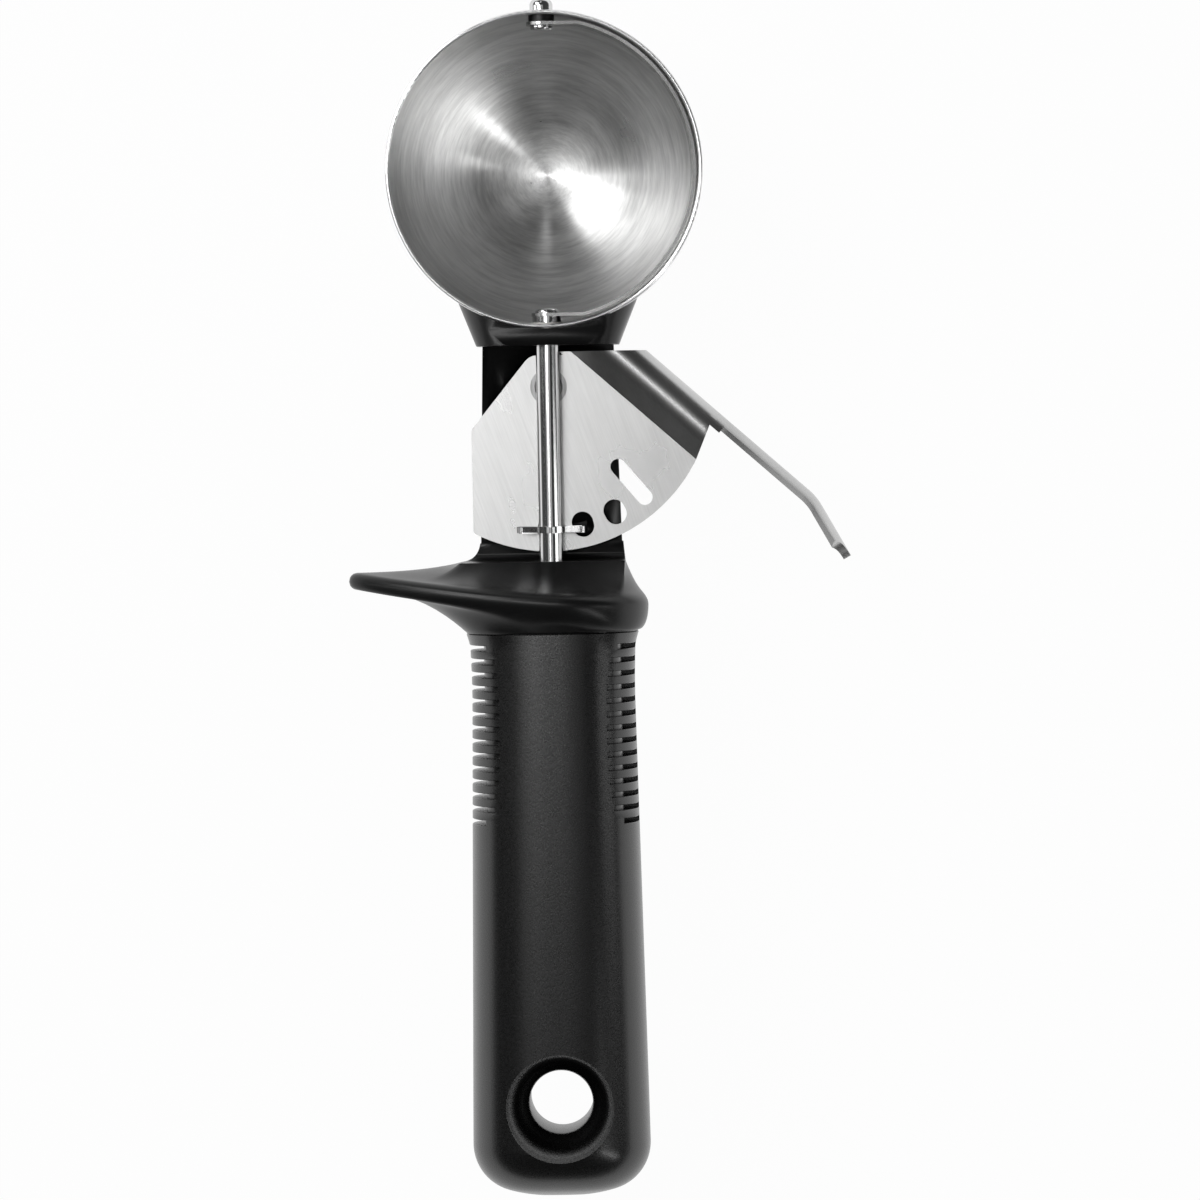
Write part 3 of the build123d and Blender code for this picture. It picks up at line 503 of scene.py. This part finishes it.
@dataclass
class Studio:
    """Floor, sky, softboxes and camera."""

    eye: tuple[float, float, float] = (0.02399, 0.12735, 1.0962)
    aim: tuple[float, float, float] = (0.00887, 0.09291, 0.0132)
    up: tuple[float, float, float] = (0.0184, 0.9998, 0.0)
    focal_px: float = 5857.0  # focal length, in pixels of the frame
    frame_px: float = 1200.0
    sensor_mm: float = 36.0
    clip: Pair = (0.01, 20.0)
    floor_centre: tuple[float, float, float] = (0.0, 0.09, -0.0161)
    floor_half: float = 4.0
    floor_grey: float = 0.88
    floor_glow: float = 0.97  # how much of the floor that is seen is plain white
    sky: Stops = ((0.0, 1.0), (0.02, 1.0), (0.08, 0.22), (0.25, 0.06), (1.0, 0.04))
    lamp_aim: tuple[float, float, float] = (0.00887, 0.11, 0.0132)
    lamps: list[Lamp] = field(default_factory=lambda: [
        Lamp("overhead_lamp", (-0.06, 0.10, 0.95), (0.32, 0.80), 0.42),
        Lamp("strip_lamp", (-0.44, 0.32, 0.93), (0.14, 1.00), 6.4),
        Lamp("upper_left_lamp", (-0.47, 0.62, 0.55), (0.34, 0.50), 4.4),
        Lamp("lower_right_lamp", (0.55, -0.30, 0.60), (0.10, 0.50), 4.2),
        Lamp("left_lamp", (-0.75, 0.24, 0.45), (0.08, 0.50), 2.2),
        Lamp("right_lamp", (0.75, 0.07, 0.45), (0.08, 0.45), 2.6),
        Lamp("top_lamp", (0.0, 0.90, 0.55), (0.05, 0.50), 1.8),
    ])

    def build(self) -> None:
        """Makes the floor, the sky, the lamps and the camera."""
        self._floor()
        self._sky()
        for lamp in self.lamps:
            self._lamp(lamp)
        self._camera()
        bpy.context.scene.view_settings.view_transform = "Standard"

    @staticmethod
    def _seen(make: Shading) -> Wire:
        """Tells what is seen from what only lights.

        Args:
            make: The shading that asks.

        Returns:
            1 for rays that come from the camera, a mirror or a glass.
        """
        path = make.node("ShaderNodeLightPath")
        seen = make.wire(path, "Is Camera Ray")
        for name in ("Is Glossy Ray", "Is Transmission Ray"):
            seen = seen.math("MAXIMUM", make.wire(path, name))
        return seen

    def _floor(self) -> None:
        """Makes a white floor that keeps a soft shadow."""
        shape = bmesh.new()
        bmesh.ops.create_circle(shape, cap_ends=True, segments=96, radius=self.floor_half)
        bmesh.ops.translate(shape, verts=shape.verts, vec=self.floor_centre)
        floor = new_object("floor", shape)
        make = new_shading("white_floor")
        grey = (self.floor_grey, self.floor_grey, self.floor_grey, 1.0)
        diffuse = make.node("ShaderNodeBsdfDiffuse", None, {"Color": grey})
        white = {"Color": (1.0, 1.0, 1.0, 1.0), "Strength": 1.0}
        glow = make.node("ShaderNodeEmission", None, white)
        share = self._seen(make) * self.floor_glow
        sockets = {0: share, 1: diffuse.outputs[0], 2: glow.outputs[0]}
        mixed = make.node("ShaderNodeMixShader", None, sockets)
        make.node("ShaderNodeOutputMaterial", None, {"Surface": mixed.outputs[0]})
        floor.data.materials.append(make.owner)

    def _sky(self) -> None:
        """Makes a room that is white at the horizon and darker overhead."""
        world = bpy.data.worlds.new("room")
        bpy.context.scene.world = world
        make = Shading(world)
        direction = make.node("ShaderNodeTexCoord").outputs["Generated"]
        _, _, height = make.split(direction)
        tone = make.node("ShaderNodeValToRGB", {"stops": self.sky}, {0: height})
        sockets = {"Color": tone.outputs[0], "Strength": 1.0}
        glow = make.node("ShaderNodeBackground", None, sockets)
        make.node("ShaderNodeOutputWorld", None, {"Surface": glow.outputs[0]})

    def _lamp(self, lamp: Lamp) -> None:
        """Makes one rectangular softbox that faces the scoop.

        Args:
            lamp: The softbox.
        """
        light = bpy.data.lights.new(lamp.name, "AREA")
        light.shape = "RECTANGLE"
        light.size, light.size_y = lamp.size
        light.energy = lamp.glow * math.pi * lamp.size[0] * lamp.size[1]
        holder = bpy.data.objects.new(lamp.name, light)
        bpy.context.scene.collection.objects.link(holder)
        holder.location = lamp.place
        towards = Vector(self.lamp_aim) - Vector(lamp.place)
        holder.rotation_euler = towards.to_track_quat("-Z", "Y").to_euler()

    def _camera(self) -> None:
        """Makes the camera: a long lens, almost straight above."""
        data = bpy.data.cameras.new("camera")
        data.sensor_width = self.sensor_mm
        data.lens = self.sensor_mm * self.focal_px / self.frame_px
        data.clip_start, data.clip_end = self.clip
        camera = bpy.data.objects.new("camera", data)
        bpy.context.scene.collection.objects.link(camera)
        back = (Vector(self.eye) - Vector(self.aim)).normalized()
        right = Vector(self.up).cross(back).normalized()
        up = back.cross(right)
        turn = Matrix((right, up, back)).transposed()
        camera.matrix_world = Matrix.Translation(self.eye) @ turn.to_4x4()
        bpy.context.scene.camera = camera


# ---- Meshes ------------------------------------------------------------------------------
def new_object(name: str, shape: bmesh.types.BMesh) -> bpy.types.Object:
    """Makes an object of a shape.

    Args:
        name: The object's name.
        shape: The shape; it is freed.

    Returns:
        The object, linked to the scene.
    """
    mesh = bpy.data.meshes.new(name)
    shape.to_mesh(mesh)
    shape.free()
    made = bpy.data.objects.new(name, mesh)
    bpy.context.scene.collection.objects.link(made)
    return made


def finish_piece(
    shape: bmesh.types.BMesh, name: str, material: bpy.types.Material
) -> bpy.types.Object:
    """Makes a piece that rides on the handle.

    Args:
        shape: The shape, in the shared frame; it is freed.
        name: The piece's name.
        material: Its finish.

    Returns:
        The piece.
    """
    piece = new_object(name, shape)
    piece.data.shade_smooth()
    piece.data.set_sharp_from_angle(angle=math.radians(CREASE_DEGREES))
    piece.data.materials.append(material)
    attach(piece, HANDLE)
    LOG.info("%s made with %d faces in %s", name, len(piece.data.polygons), material.name)
    return piece


def dress(names: Iterable[str], material: bpy.types.Material) -> None:
    """Gives CAD nodes a finish.

    Args:
        names: The nodes.
        material: Their finish.
    """
    for name in names:
        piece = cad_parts[name]
        piece.data.materials.clear()
        piece.data.materials.append(material)
        LOG.info("%s dressed in %s", name, material.name)


def merged_copy(node: str) -> bmesh.types.BMesh:
    """Copies a CAD node's mesh and merges its doubles.

    Args:
        node: The node's name.

    Returns:
        The copy.
    """
    shape = bmesh.new()
    shape.from_mesh(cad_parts[node].data)
    bmesh.ops.remove_doubles(shape, verts=shape.verts, dist=TINY)
    return shape


def between(pair: Pair, share: float) -> float:
    """The value at a share of the way from a pair's first number to its second."""
    return pair[0] + (pair[1] - pair[0]) * share


def directions(count: int) -> list[float]:
    """Evenly spread directions round a circle, in radians."""
    return [2.0 * math.pi * side / count for side in range(count)]


def loft(shape: bmesh.types.BMesh, rows: Sequence[Sequence[Vector]]) -> None:
    """Adds a closed body that runs through rings of points.

    Args:
        shape: What it is added to.
        rows: The rings, each with the same number of points, in metres.
    """

    def ring_edges(verts: Sequence[bmesh.types.BMVert]) -> list[bmesh.types.BMEdge]:
        """The edges that join a ring's vertices."""
        return [shape.edges.get(ends) for ends in zip(verts, [*verts[1:], verts[0]])]

    before = set(shape.faces)
    ring = bmesh.ops.create_circle(shape, segments=len(rows[0]), radius=1.0)["verts"]
    for vert, spot in zip(ring, rows[0]):
        vert.co = spot
    ends = [ring]
    for row in rows[1:]:
        made = bmesh.ops.extrude_edge_only(shape, edges=ring_edges(ring))["geom"]
        fresh = {item for item in made if isinstance(item, bmesh.types.BMVert)}
        neighbours = [[edge.other_vert(vert) for edge in vert.link_edges] for vert in ring]
        ring = [next(vert for vert in near if vert in fresh) for near in neighbours]
        for vert, spot in zip(ring, row):
            vert.co = spot
    ends.append(ring)
    for ring in ends:
        bmesh.ops.contextual_create(shape, geom=ring_edges(ring))
    made_faces = [face for face in shape.faces if face not in before]
    bmesh.ops.recalc_face_normals(shape, faces=made_faces)


# ---- Sub-assemblies ----------------------------------------------------------------------
@dataclass
class BowlAndBlade:
    """Spun bowl, its spacer and the blade that sweeps it."""

    axis_y: float = 0.1726
    blade_roughness: float = 0.25

    def build(self) -> None:
        """Dresses the pieces."""
        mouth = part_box("bowl")[1].z
        dress(["bowl"], SpunSteel("spun_steel", (0.0, self.axis_y), mouth).material())
        blade = BrushedSteel("blade_steel", roughness=self.blade_roughness)
        dress(["sweep_blade"], blade.material())
        dress(["top_spacer"], Moulded("spacer_plastic").material())


@dataclass
class Drive:
    """Shaft, star wheel, rivets, washers, clip and spring."""

    # Painted shade: the rivet and front washer get darker steel than the other polished parts,
    # for the shade they sit in
    rivet_shade_dark: Colour = (0.22, 0.22, 0.22)
    rivet_shade_pale: Colour = (0.34, 0.34, 0.34)
    dull: float = 0.3  # roughness of what isn't polished

    def build(self) -> None:
        """Dresses the pieces."""
        dress(
            ["drive_shaft", "star_wheel", "top_pivot_pin", "rear_washer", "hub_washer"],
            PolishedSteel("polished_steel").material(),
        )
        # painted shade on the rivet and front washer
        rivet = PolishedSteel("rivet_steel", self.rivet_shade_dark, self.rivet_shade_pale, self.dull)
        dress(["lever_rivet", "front_washer"], rivet.material())
        wire = PolishedSteel("spring_steel", roughness=self.dull)
        dress(["return_spring", "shaft_clip", "tang_pins"], wire.material())


@dataclass
class Lever:
    """Sector plate with its curled flange and arm."""

    arm_x: float = 0.0285  # where the arm's sheared edge and its painted shade start
    brush_turn: float = -20.0

    def build(self) -> None:
        """Dresses the piece."""
        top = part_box("trigger_lever")[1].z
        steel = BrushedSteel("sheet_steel", self.brush_turn, edge_shade_z=top, edge_shade_x=self.arm_x)
        dress(["trigger_lever"], steel.material())


@dataclass(frozen=True)
class Roll:
    """How one side of the guard curves and rolls over into the rim.

    Pairs hold the value on the guard's round part and the value on its wing.
    """

    edge: Pair  # height of the rolled edge
    reach: Pair  # how far in from the rim the roll starts
    limit: float  # the largest share of the way that the roll takes
    curve: Pair  # power of the slope's curve


@dataclass
class Guard:
    """Finger guard: a smooth shell lofted from the grip's joint over its rim to the neck's foot.

    Lengths are in millimetres. Points are (x, height, z), with heights from the joint towards
    the bowl, and x and z from the shaft. Directions are angles from the lever's side.
    """

    seam_y: float = 87.3
    top_y: float = 100.15
    shaft_z: float = 13.2
    sides: int = 160
    joint_half: Pair = (16.0, 13.15)
    joint_power: float = 0.72
    joint_groove: float = 0.22
    rim_centre: float = 1.2
    rim_right: float = 16.63
    rim_wing: float = 38.7
    rim_depth: float = 16.55
    rim_leaf: float = 0.36  # how much the wing narrows to its tip
    rim_rise: float = 4.75
    rim_slopes: Pair = (0.03, 0.00112)
    foot_centre: Pair = (-1.7, -6.6)
    foot_half: Pair = (15.7, 9.2)
    under: Roll = Roll(edge=(2.5, 1.5), reach=(1.9, 1.4), limit=0.85, curve=(1.1, 2.4))
    over: Roll = Roll(edge=(1.7, 1.6), reach=(2.4, 1.5), limit=0.8, curve=(1.75, 3.0))
    plump_reach: float = 3.0  # more reach of the roll under the lever's side
    plump_limit: float = 0.15
    under_shares: tuple[float, ...] = (
        0.0, 0.05, 0.11, 0.18, 0.26, 0.35, 0.45, 0.55,
        0.65, 0.74, 0.82, 0.88, 0.93, 0.96, 0.98, 0.993,
    )
    over_shares: tuple[float, ...] = (
        0.993, 0.98, 0.96, 0.93, 0.88, 0.82, 0.74, 0.65,
        0.56, 0.47, 0.38, 0.3, 0.22, 0.15, 0.09, 0.04,
    )

    @staticmethod
    def _towards(along: float) -> float:
        """The eased share, from 0 to 1, of a cosine that counts only where it is above 0."""
        along = max(0.0, along)
        return along * along * (3.0 - 2.0 * along)

    def _joint(self, turn: float) -> Vector:
        """The grip's outline at the joint.

        Args:
            turn: The direction.

        Returns:
            The outline's point that way.
        """
        cosine, sine = math.cos(turn), math.sin(turn)
        return Vector((
            math.copysign(self.joint_half[0] * abs(cosine) ** self.joint_power, cosine),
            0.0,
            math.copysign(self.joint_half[1] * abs(sine) ** self.joint_power, sine),
        ))

    def _rim(self, turn: float) -> Vector:
        """The rim's edge.

        Args:
            turn: The direction.

        Returns:
            The edge's point that way.
        """
        cosine, sine = math.cos(turn), math.sin(turn)
        x = self.rim_centre + (self.rim_right if cosine > 0.0 else self.rim_wing) * cosine
        z = self.rim_depth * sine * (1.0 - self.rim_leaf * min(0.0, cosine) ** 2)
        reach = self.rim_centre + self.rim_right - x
        rise = self.rim_rise + self.rim_slopes[0] * reach + self.rim_slopes[1] * reach**2
        return Vector((x, rise, z))

    def _foot(self, outline: Sequence[tuple[Vector, Vector]], turn: float) -> Vector:
        """The neck's outline under the ledge.

        Args:
            outline: The ends of the neck's cut edges, as (x, z).
            turn: The direction.

        Returns:
            The farthest point of the outline that way.
        """
        centre = Vector(self.foot_centre)
        ray = Vector((self.foot_half[0] * math.cos(turn), self.foot_half[1] * math.sin(turn)))
        parallel, slack = 1e-12, 1e-6
        far = 0.0
        for start, end in outline:
            side = end - start
            cross = ray.cross(side)
            if abs(cross) < parallel:
                continue
            gap = start - centre
            if -slack <= gap.cross(ray) / cross <= 1.0 + slack:
                far = max(far, gap.cross(side) / cross)
        spot = centre + ray * far
        return Vector((spot.x, self.top_y - self.seam_y, spot.y))

    @staticmethod
    def _rolled(
        start: Vector, end: Vector, share: float, edge: float, knee: float, curve: float
    ) -> Vector:
        """A point between the root of one side and the rim.

        Args:
            start: The root.
            end: The rim's point.
            share: The share of the way from the root to the rim.
            edge: The height of the rolled edge.
            knee: The share at which the roll starts.
            curve: The power of the slope's curve.

        Returns:
            The point.
        """
        spot = start.lerp(end, share)
        bend = max(0.0, (share - knee) / (1.0 - knee))
        roll = edge * (1.0 - math.sqrt(max(0.0, 1.0 - bend * bend)))
        height = end.y - start.y
        slope = (abs(height) - edge) * (1.0 - (1.0 - share) ** curve)
        spot.y = start.y + math.copysign(1.0, height) * (slope + roll)
        return spot

    def _below(self, turn: float, share: float) -> Vector:
        """A point of the underside.

        Args:
            turn: The direction.
            share: The share of the way from the joint to the rim.

        Returns:
            The point.
        """
        start, end = self._joint(turn), self._rim(turn)
        wing, plump = self._towards(-math.cos(turn)), self._towards(math.cos(turn))
        roll = self.under
        width = math.hypot(end.x - start.x, end.z - start.z)
        edge = between(roll.edge, wing) + (end.y - roll.edge[0]) * plump
        reach = between(roll.reach, wing) + self.plump_reach * plump
        knee = 1.0 - min(roll.limit + self.plump_limit * plump, reach / width)
        spot = self._rolled(start, end, share, edge, knee, between(roll.curve, wing))
        spot.y += self.joint_groove * (1.0 - share)
        return spot

    def _above(self, foot: Vector, turn: float, share: float) -> Vector:
        """A point of the upper side.

        Args:
            foot: The neck's foot in this direction.
            turn: The direction.
            share: The share of the way from the foot to the rim.

        Returns:
            The point.
        """
        end = self._rim(turn)
        wing = self._towards(-math.cos(turn))
        roll = self.over
        width = math.hypot(end.x - foot.x, end.z - foot.z)
        edge = between(roll.edge, wing)
        knee = 1.0 - min(roll.limit, between(roll.reach, wing) / width)
        return self._rolled(foot, end, share, edge, knee, between(roll.curve, wing))

    def _placed(self, spots: Iterable[Vector]) -> list[Vector]:
        """Puts points of the guard in the shared frame.

        Args:
            spots: The points, in millimetres.

        Returns:
            The points, in metres.
        """
        origin = Vector((0.0, self.seam_y, self.shaft_z))
        return [(origin + spot) * MM for spot in spots]

    def _cut_neck(self, shape: bmesh.types.BMesh) -> list[tuple[Vector, Vector]]:
        """Cuts the neck off at the ledge and closes the cut.

        Args:
            shape: The neck housing's mesh, changed in place.

        Returns:
            The ends of the cut edges, as (x, z) from the shaft in millimetres.
        """
        bmesh.ops.bisect_plane(
            shape,
            geom=[*shape.verts, *shape.edges, *shape.faces],
            dist=TINY / 10.0,
            plane_co=(0.0, self.top_y * MM, 0.0),
            plane_no=(0.0, 1.0, 0.0),
            clear_inner=True,
        )
        cut = [edge for edge in shape.edges if edge.is_boundary]
        outline = []
        for edge in cut:
            start, end = (
                Vector((vert.co.x / MM, vert.co.z / MM - self.shaft_z)) for vert in edge.verts
            )
            outline.append((start, end))
        bmesh.ops.triangle_fill(shape, use_beauty=True, edges=cut)
        return outline

    def add(self, shape: bmesh.types.BMesh) -> None:
        """Puts the guard in place of the neck's lower end.

        Args:
            shape: The neck housing's mesh, changed in place.
        """
        outline = self._cut_neck(shape)
        turns = directions(self.sides)
        feet = [self._foot(outline, turn) for turn in turns]
        groove = 1.0 - self.joint_groove / self.joint_half[0]
        rows = [
            [self._joint(turn) * groove for turn in turns],
            *([self._below(turn, share) for turn in turns] for share in self.under_shares),
            [self._rim(turn) for turn in turns],
            *(
                [self._above(foot, turn, share) for foot, turn in zip(feet, turns)]
                for share in self.over_shares
            ),
            feet,
        ]
        loft(shape, [self._placed(row) for row in rows])


@dataclass(frozen=True)
class Ring:
    """One ring of the grip, in millimetres."""

    station: float  # its place along the grip
    side: float  # where the finned fields start, from the middle
    inset: float = 0.0  # how much smaller it is all round
    dip: float = 0.0  # how far the fields lie below the surface
    floor: bool = False  # whether the fields lie on the slots' floor instead


@dataclass
class Sleeve:
    """Soft grip: a crowned sleeve with a flare, two finned fields and a funnelled hole.

    Lengths are in millimetres; x and z run from the shaft's line. Tables of widths and of the
    funnel hold a place along their axis and half the width, or the radius, there.
    """

    seam_y: float = 87.3
    end_y: float = -17.6
    shaft_z: float = 13.2
    half_depth: float = 13.2
    section_power: float = 2.0 / 3.0
    widths: tuple[Pair, ...] = (
        (-17.6, 16.6), (0.0, 16.35), (75.3, 15.08), (79.0, 15.1), (82.3, 15.2),
        (84.3, 15.27), (85.5, 15.45), (86.5, 15.75), (87.3, 16.0),
    )
    joint_round: float = 0.25
    flare_drops: tuple[float, ...] = (0.7, 1.1, 1.5, 1.9)
    end_round: float = 9.0
    end_crown: float = 32.0
    end_inset: float = 12.9  # of the last ring, which the flat cap closes
    barrel_rings: int = 24
    round_rings: int = 14
    crown_rings: int = 8
    fin_first: float = 2.7
    fin_pitch: float = 2.47
    fin_gap: float = 0.95
    fin_edge: float = 0.12
    fin_wall: float = 0.01  # half the step between the rings of a slot's wall
    field_sides: tuple[float, ...] = (
        12.1, 10.5, 10.2, 9.95, 9.85, 9.85, 9.85, 9.85, 9.9, 10.0, 10.2, 10.5, 11.0, 12.7,
    )
    floor_half: Pair = (12.7, 10.0)
    floor_power: float = 4.5
    closed_z: float = -1.0  # the field on the lever's side is closed below this
    columns: tuple[int, int, int, int] = (30, 34, 54, 50)
    column_gap: float = 0.002  # radians, from a field's border to its nearest column
    funnel_sides: int = 128
    funnel: tuple[Pair, ...] = (
        (-1.0, 5.87), (14.0, 5.87), (14.6, 6.15), (15.6, 7.2), (17.2, 8.4),
        (19.5, 9.3), (22.5, 9.8), (25.9, 10.0), (28.5, 10.05),
    )

    def _width(self, station: float) -> float:
        """Half the grip's width.

        Args:
            station: The place along the grip.

        Returns:
            Half the width there.
        """
        for (low, narrow), (high, wide) in zip(self.widths, self.widths[1:]):
            if station <= high:
                return narrow + (wide - narrow) * (station - low) / (high - low)
        return self.widths[-1][1]

    def _turns(self, side: float, width: float) -> list[tuple[float, bool]]:
        """Directions of a ring's points, and whether each lies in a finned field.

        Args:
            side: Where the fields start, from the middle.
            width: Half the grip's width.

        Returns:
            The directions, starting at the closed back of the lever's side.
        """
        start = math.asin(self.closed_z / self.half_depth)
        front = math.acos((side / width) ** (1.0 / self.section_power))
        marks = [start, front, math.pi - front, math.pi + front, 2.0 * math.pi + start]
        turns: list[tuple[float, bool]] = []
        for part, (low, high) in enumerate(zip(marks, marks[1:])):
            count = self.columns[part]
            span = high - low - 2.0 * self.column_gap
            for step in range(count):
                turn = low + self.column_gap + span * step / (count - 1)
                turns.append((turn, part % 2 == 0))
        return turns

    def _points(self, ring: Ring) -> list[Vector]:
        """The points of a ring.

        Args:
            ring: The ring.

        Returns:
            Its points, in metres in the shared frame.
        """
        width = self._width(ring.station)
        spots = []
        for turn, finned in self._turns(ring.side, width):
            cosine, sine = math.cos(turn), math.sin(turn)
            low = ring.inset + (ring.dip if finned else 0.0)
            x = math.copysign((width - low) * abs(cosine) ** self.section_power, cosine)
            z = (self.half_depth - low) * sine
            if finned and ring.floor:
                over = abs(x / self.floor_half[0]) ** self.floor_power
                over += abs(z / self.floor_half[1]) ** self.floor_power
                scale = min(1.0, over ** (-1.0 / self.floor_power))
                x, z = x * scale, z * scale
            spots.append(Vector((x, ring.station, self.shaft_z + z)) * MM)
        return spots

    def _fin_rings(self) -> list[Ring]:
        """The rings from the joint through all slots.

        Returns:
            The rings.
        """
        side = self.field_sides[0]
        rings = [
            Ring(self.seam_y, side, inset=self.joint_round),
            Ring(self.seam_y - self.joint_round, side),
            *(Ring(self.seam_y - drop, side) for drop in self.flare_drops),
        ]
        half = self.fin_gap / 2
        for slot, side in enumerate(self.field_sides):
            middle = self.seam_y - self.fin_first - slot * self.fin_pitch
            rings += [
                Ring(middle + half + self.fin_edge, side),
                Ring(middle + half + self.fin_wall, side, dip=self.fin_edge),
                Ring(middle + half - self.fin_wall, side, floor=True),
                Ring(middle, side, floor=True),
                Ring(middle - half + self.fin_wall, side, floor=True),
                Ring(middle - half - self.fin_wall, side, dip=self.fin_edge),
                Ring(middle - half - self.fin_edge, side),
            ]
        return rings

    def _end_rings(self, last: float) -> list[Ring]:
        """The rings from the fins to the crowned end.

        Args:
            last: The station of the last ring of the fins.

        Returns:
            The rings.
        """
        side = self.field_sides[-1]
        half, bend, crown = self.widths[0][1], self.end_round, self.end_crown
        slope = math.atan((half - bend) / (crown - bend))
        rim = crown * math.sin(slope)
        centre = self.end_y + crown * (1.0 - math.cos(slope)) + bend * math.cos(slope)
        rings = [
            Ring(last + (centre - last) * step / self.barrel_rings, side)
            for step in range(1, self.barrel_rings + 1)
        ]
        for step in range(1, self.round_rings + 1):
            turn = (math.pi / 2 - slope) * step / self.round_rings
            inset = bend * (1.0 - math.cos(turn))
            rings.append(Ring(centre - bend * math.sin(turn), side, inset))
        start = rings[-1].inset
        for step in range(1, self.crown_rings + 1):
            inset = start + (self.end_inset - start) * step / self.crown_rings
            reach = rim * (half - inset) / (half - start)
            rings.append(Ring(self.end_y + crown - math.sqrt(crown**2 - reach**2), side, inset))
        return rings

    def _cutter(self) -> bpy.types.Object:
        """Makes the hanging hole's funnel, as a solid to cut with.

        Returns:
            The solid.
        """
        shape = bmesh.new()
        loft(shape, [
            [
                Vector((radius * math.cos(turn), radius * math.sin(turn), height)) * MM
                for turn in directions(self.funnel_sides)
            ]
            for height, radius in self.funnel
        ])
        return new_object("funnel", shape)

    def build(self, rubber: bpy.types.Material) -> None:
        """Makes the sleeve and cuts its hanging hole.

        Args:
            rubber: Its finish.
        """
        shape = bmesh.new()
        rings = self._fin_rings()
        rings += self._end_rings(rings[-1].station)
        loft(shape, [self._points(ring) for ring in rings])
        blank = new_object("uncut_sleeve", shape)
        cutter = self._cutter()
        cut = blank.modifiers.new("hanging_hole", "BOOLEAN")
        cut.operation, cut.solver, cut.object = "DIFFERENCE", "EXACT", cutter
        bpy.context.view_layer.update()
        done = blank.evaluated_get(bpy.context.evaluated_depsgraph_get())
        shape = bmesh.new()
        shape.from_mesh(done.to_mesh())
        done.to_mesh_clear()
        for helper in (blank, cutter):
            bpy.data.objects.remove(helper)
        piece = finish_piece(shape, "finned_sleeve", rubber)
        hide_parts("grip_sleeve")


@dataclass
class Handle:
    """Neck, guard, soft grip and what they hold."""

    guard: Guard = field(default_factory=Guard)
    sleeve: Sleeve = field(default_factory=Sleeve)
    core_roughness: float = 0.5
    bearing_dark: Colour = (0.62, 0.61, 0.58)
    bearing_pale: Colour = (0.72, 0.71, 0.68)

    def build(self) -> None:
        """Makes the neck's shell and the sleeve, and dresses the other pieces."""
        shape = merged_copy("neck_housing")
        self.guard.add(shape)
        plastic = Moulded("neck_plastic").material()
        neck = finish_piece(shape, "neck_shell", plastic)
        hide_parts("neck_housing")
        core = Moulded("core_plastic", roughness=self.core_roughness)
        dress(["grip_core"], core.material())
        self.sleeve.build(SoftRubber("soft_rubber").material())
        dress(["bowl_tang"], BrushedSteel("tang_steel").material())
        bearing = Moulded("bearing_plastic", self.bearing_dark, self.bearing_pale)
        dress(["lower_bushing", "upper_bushing", "spacing_bush"], bearing.material())


def main() -> None:
    """Builds the studio and the sub-assemblies in order."""
    logging.basicConfig(level=logging.INFO, format="%(message)s")
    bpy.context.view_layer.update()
    Studio().build()
    for assembly in (BowlAndBlade(), Drive(), Lever(), Handle()):
        assembly.build()


if __name__ == "__main__":
    main()
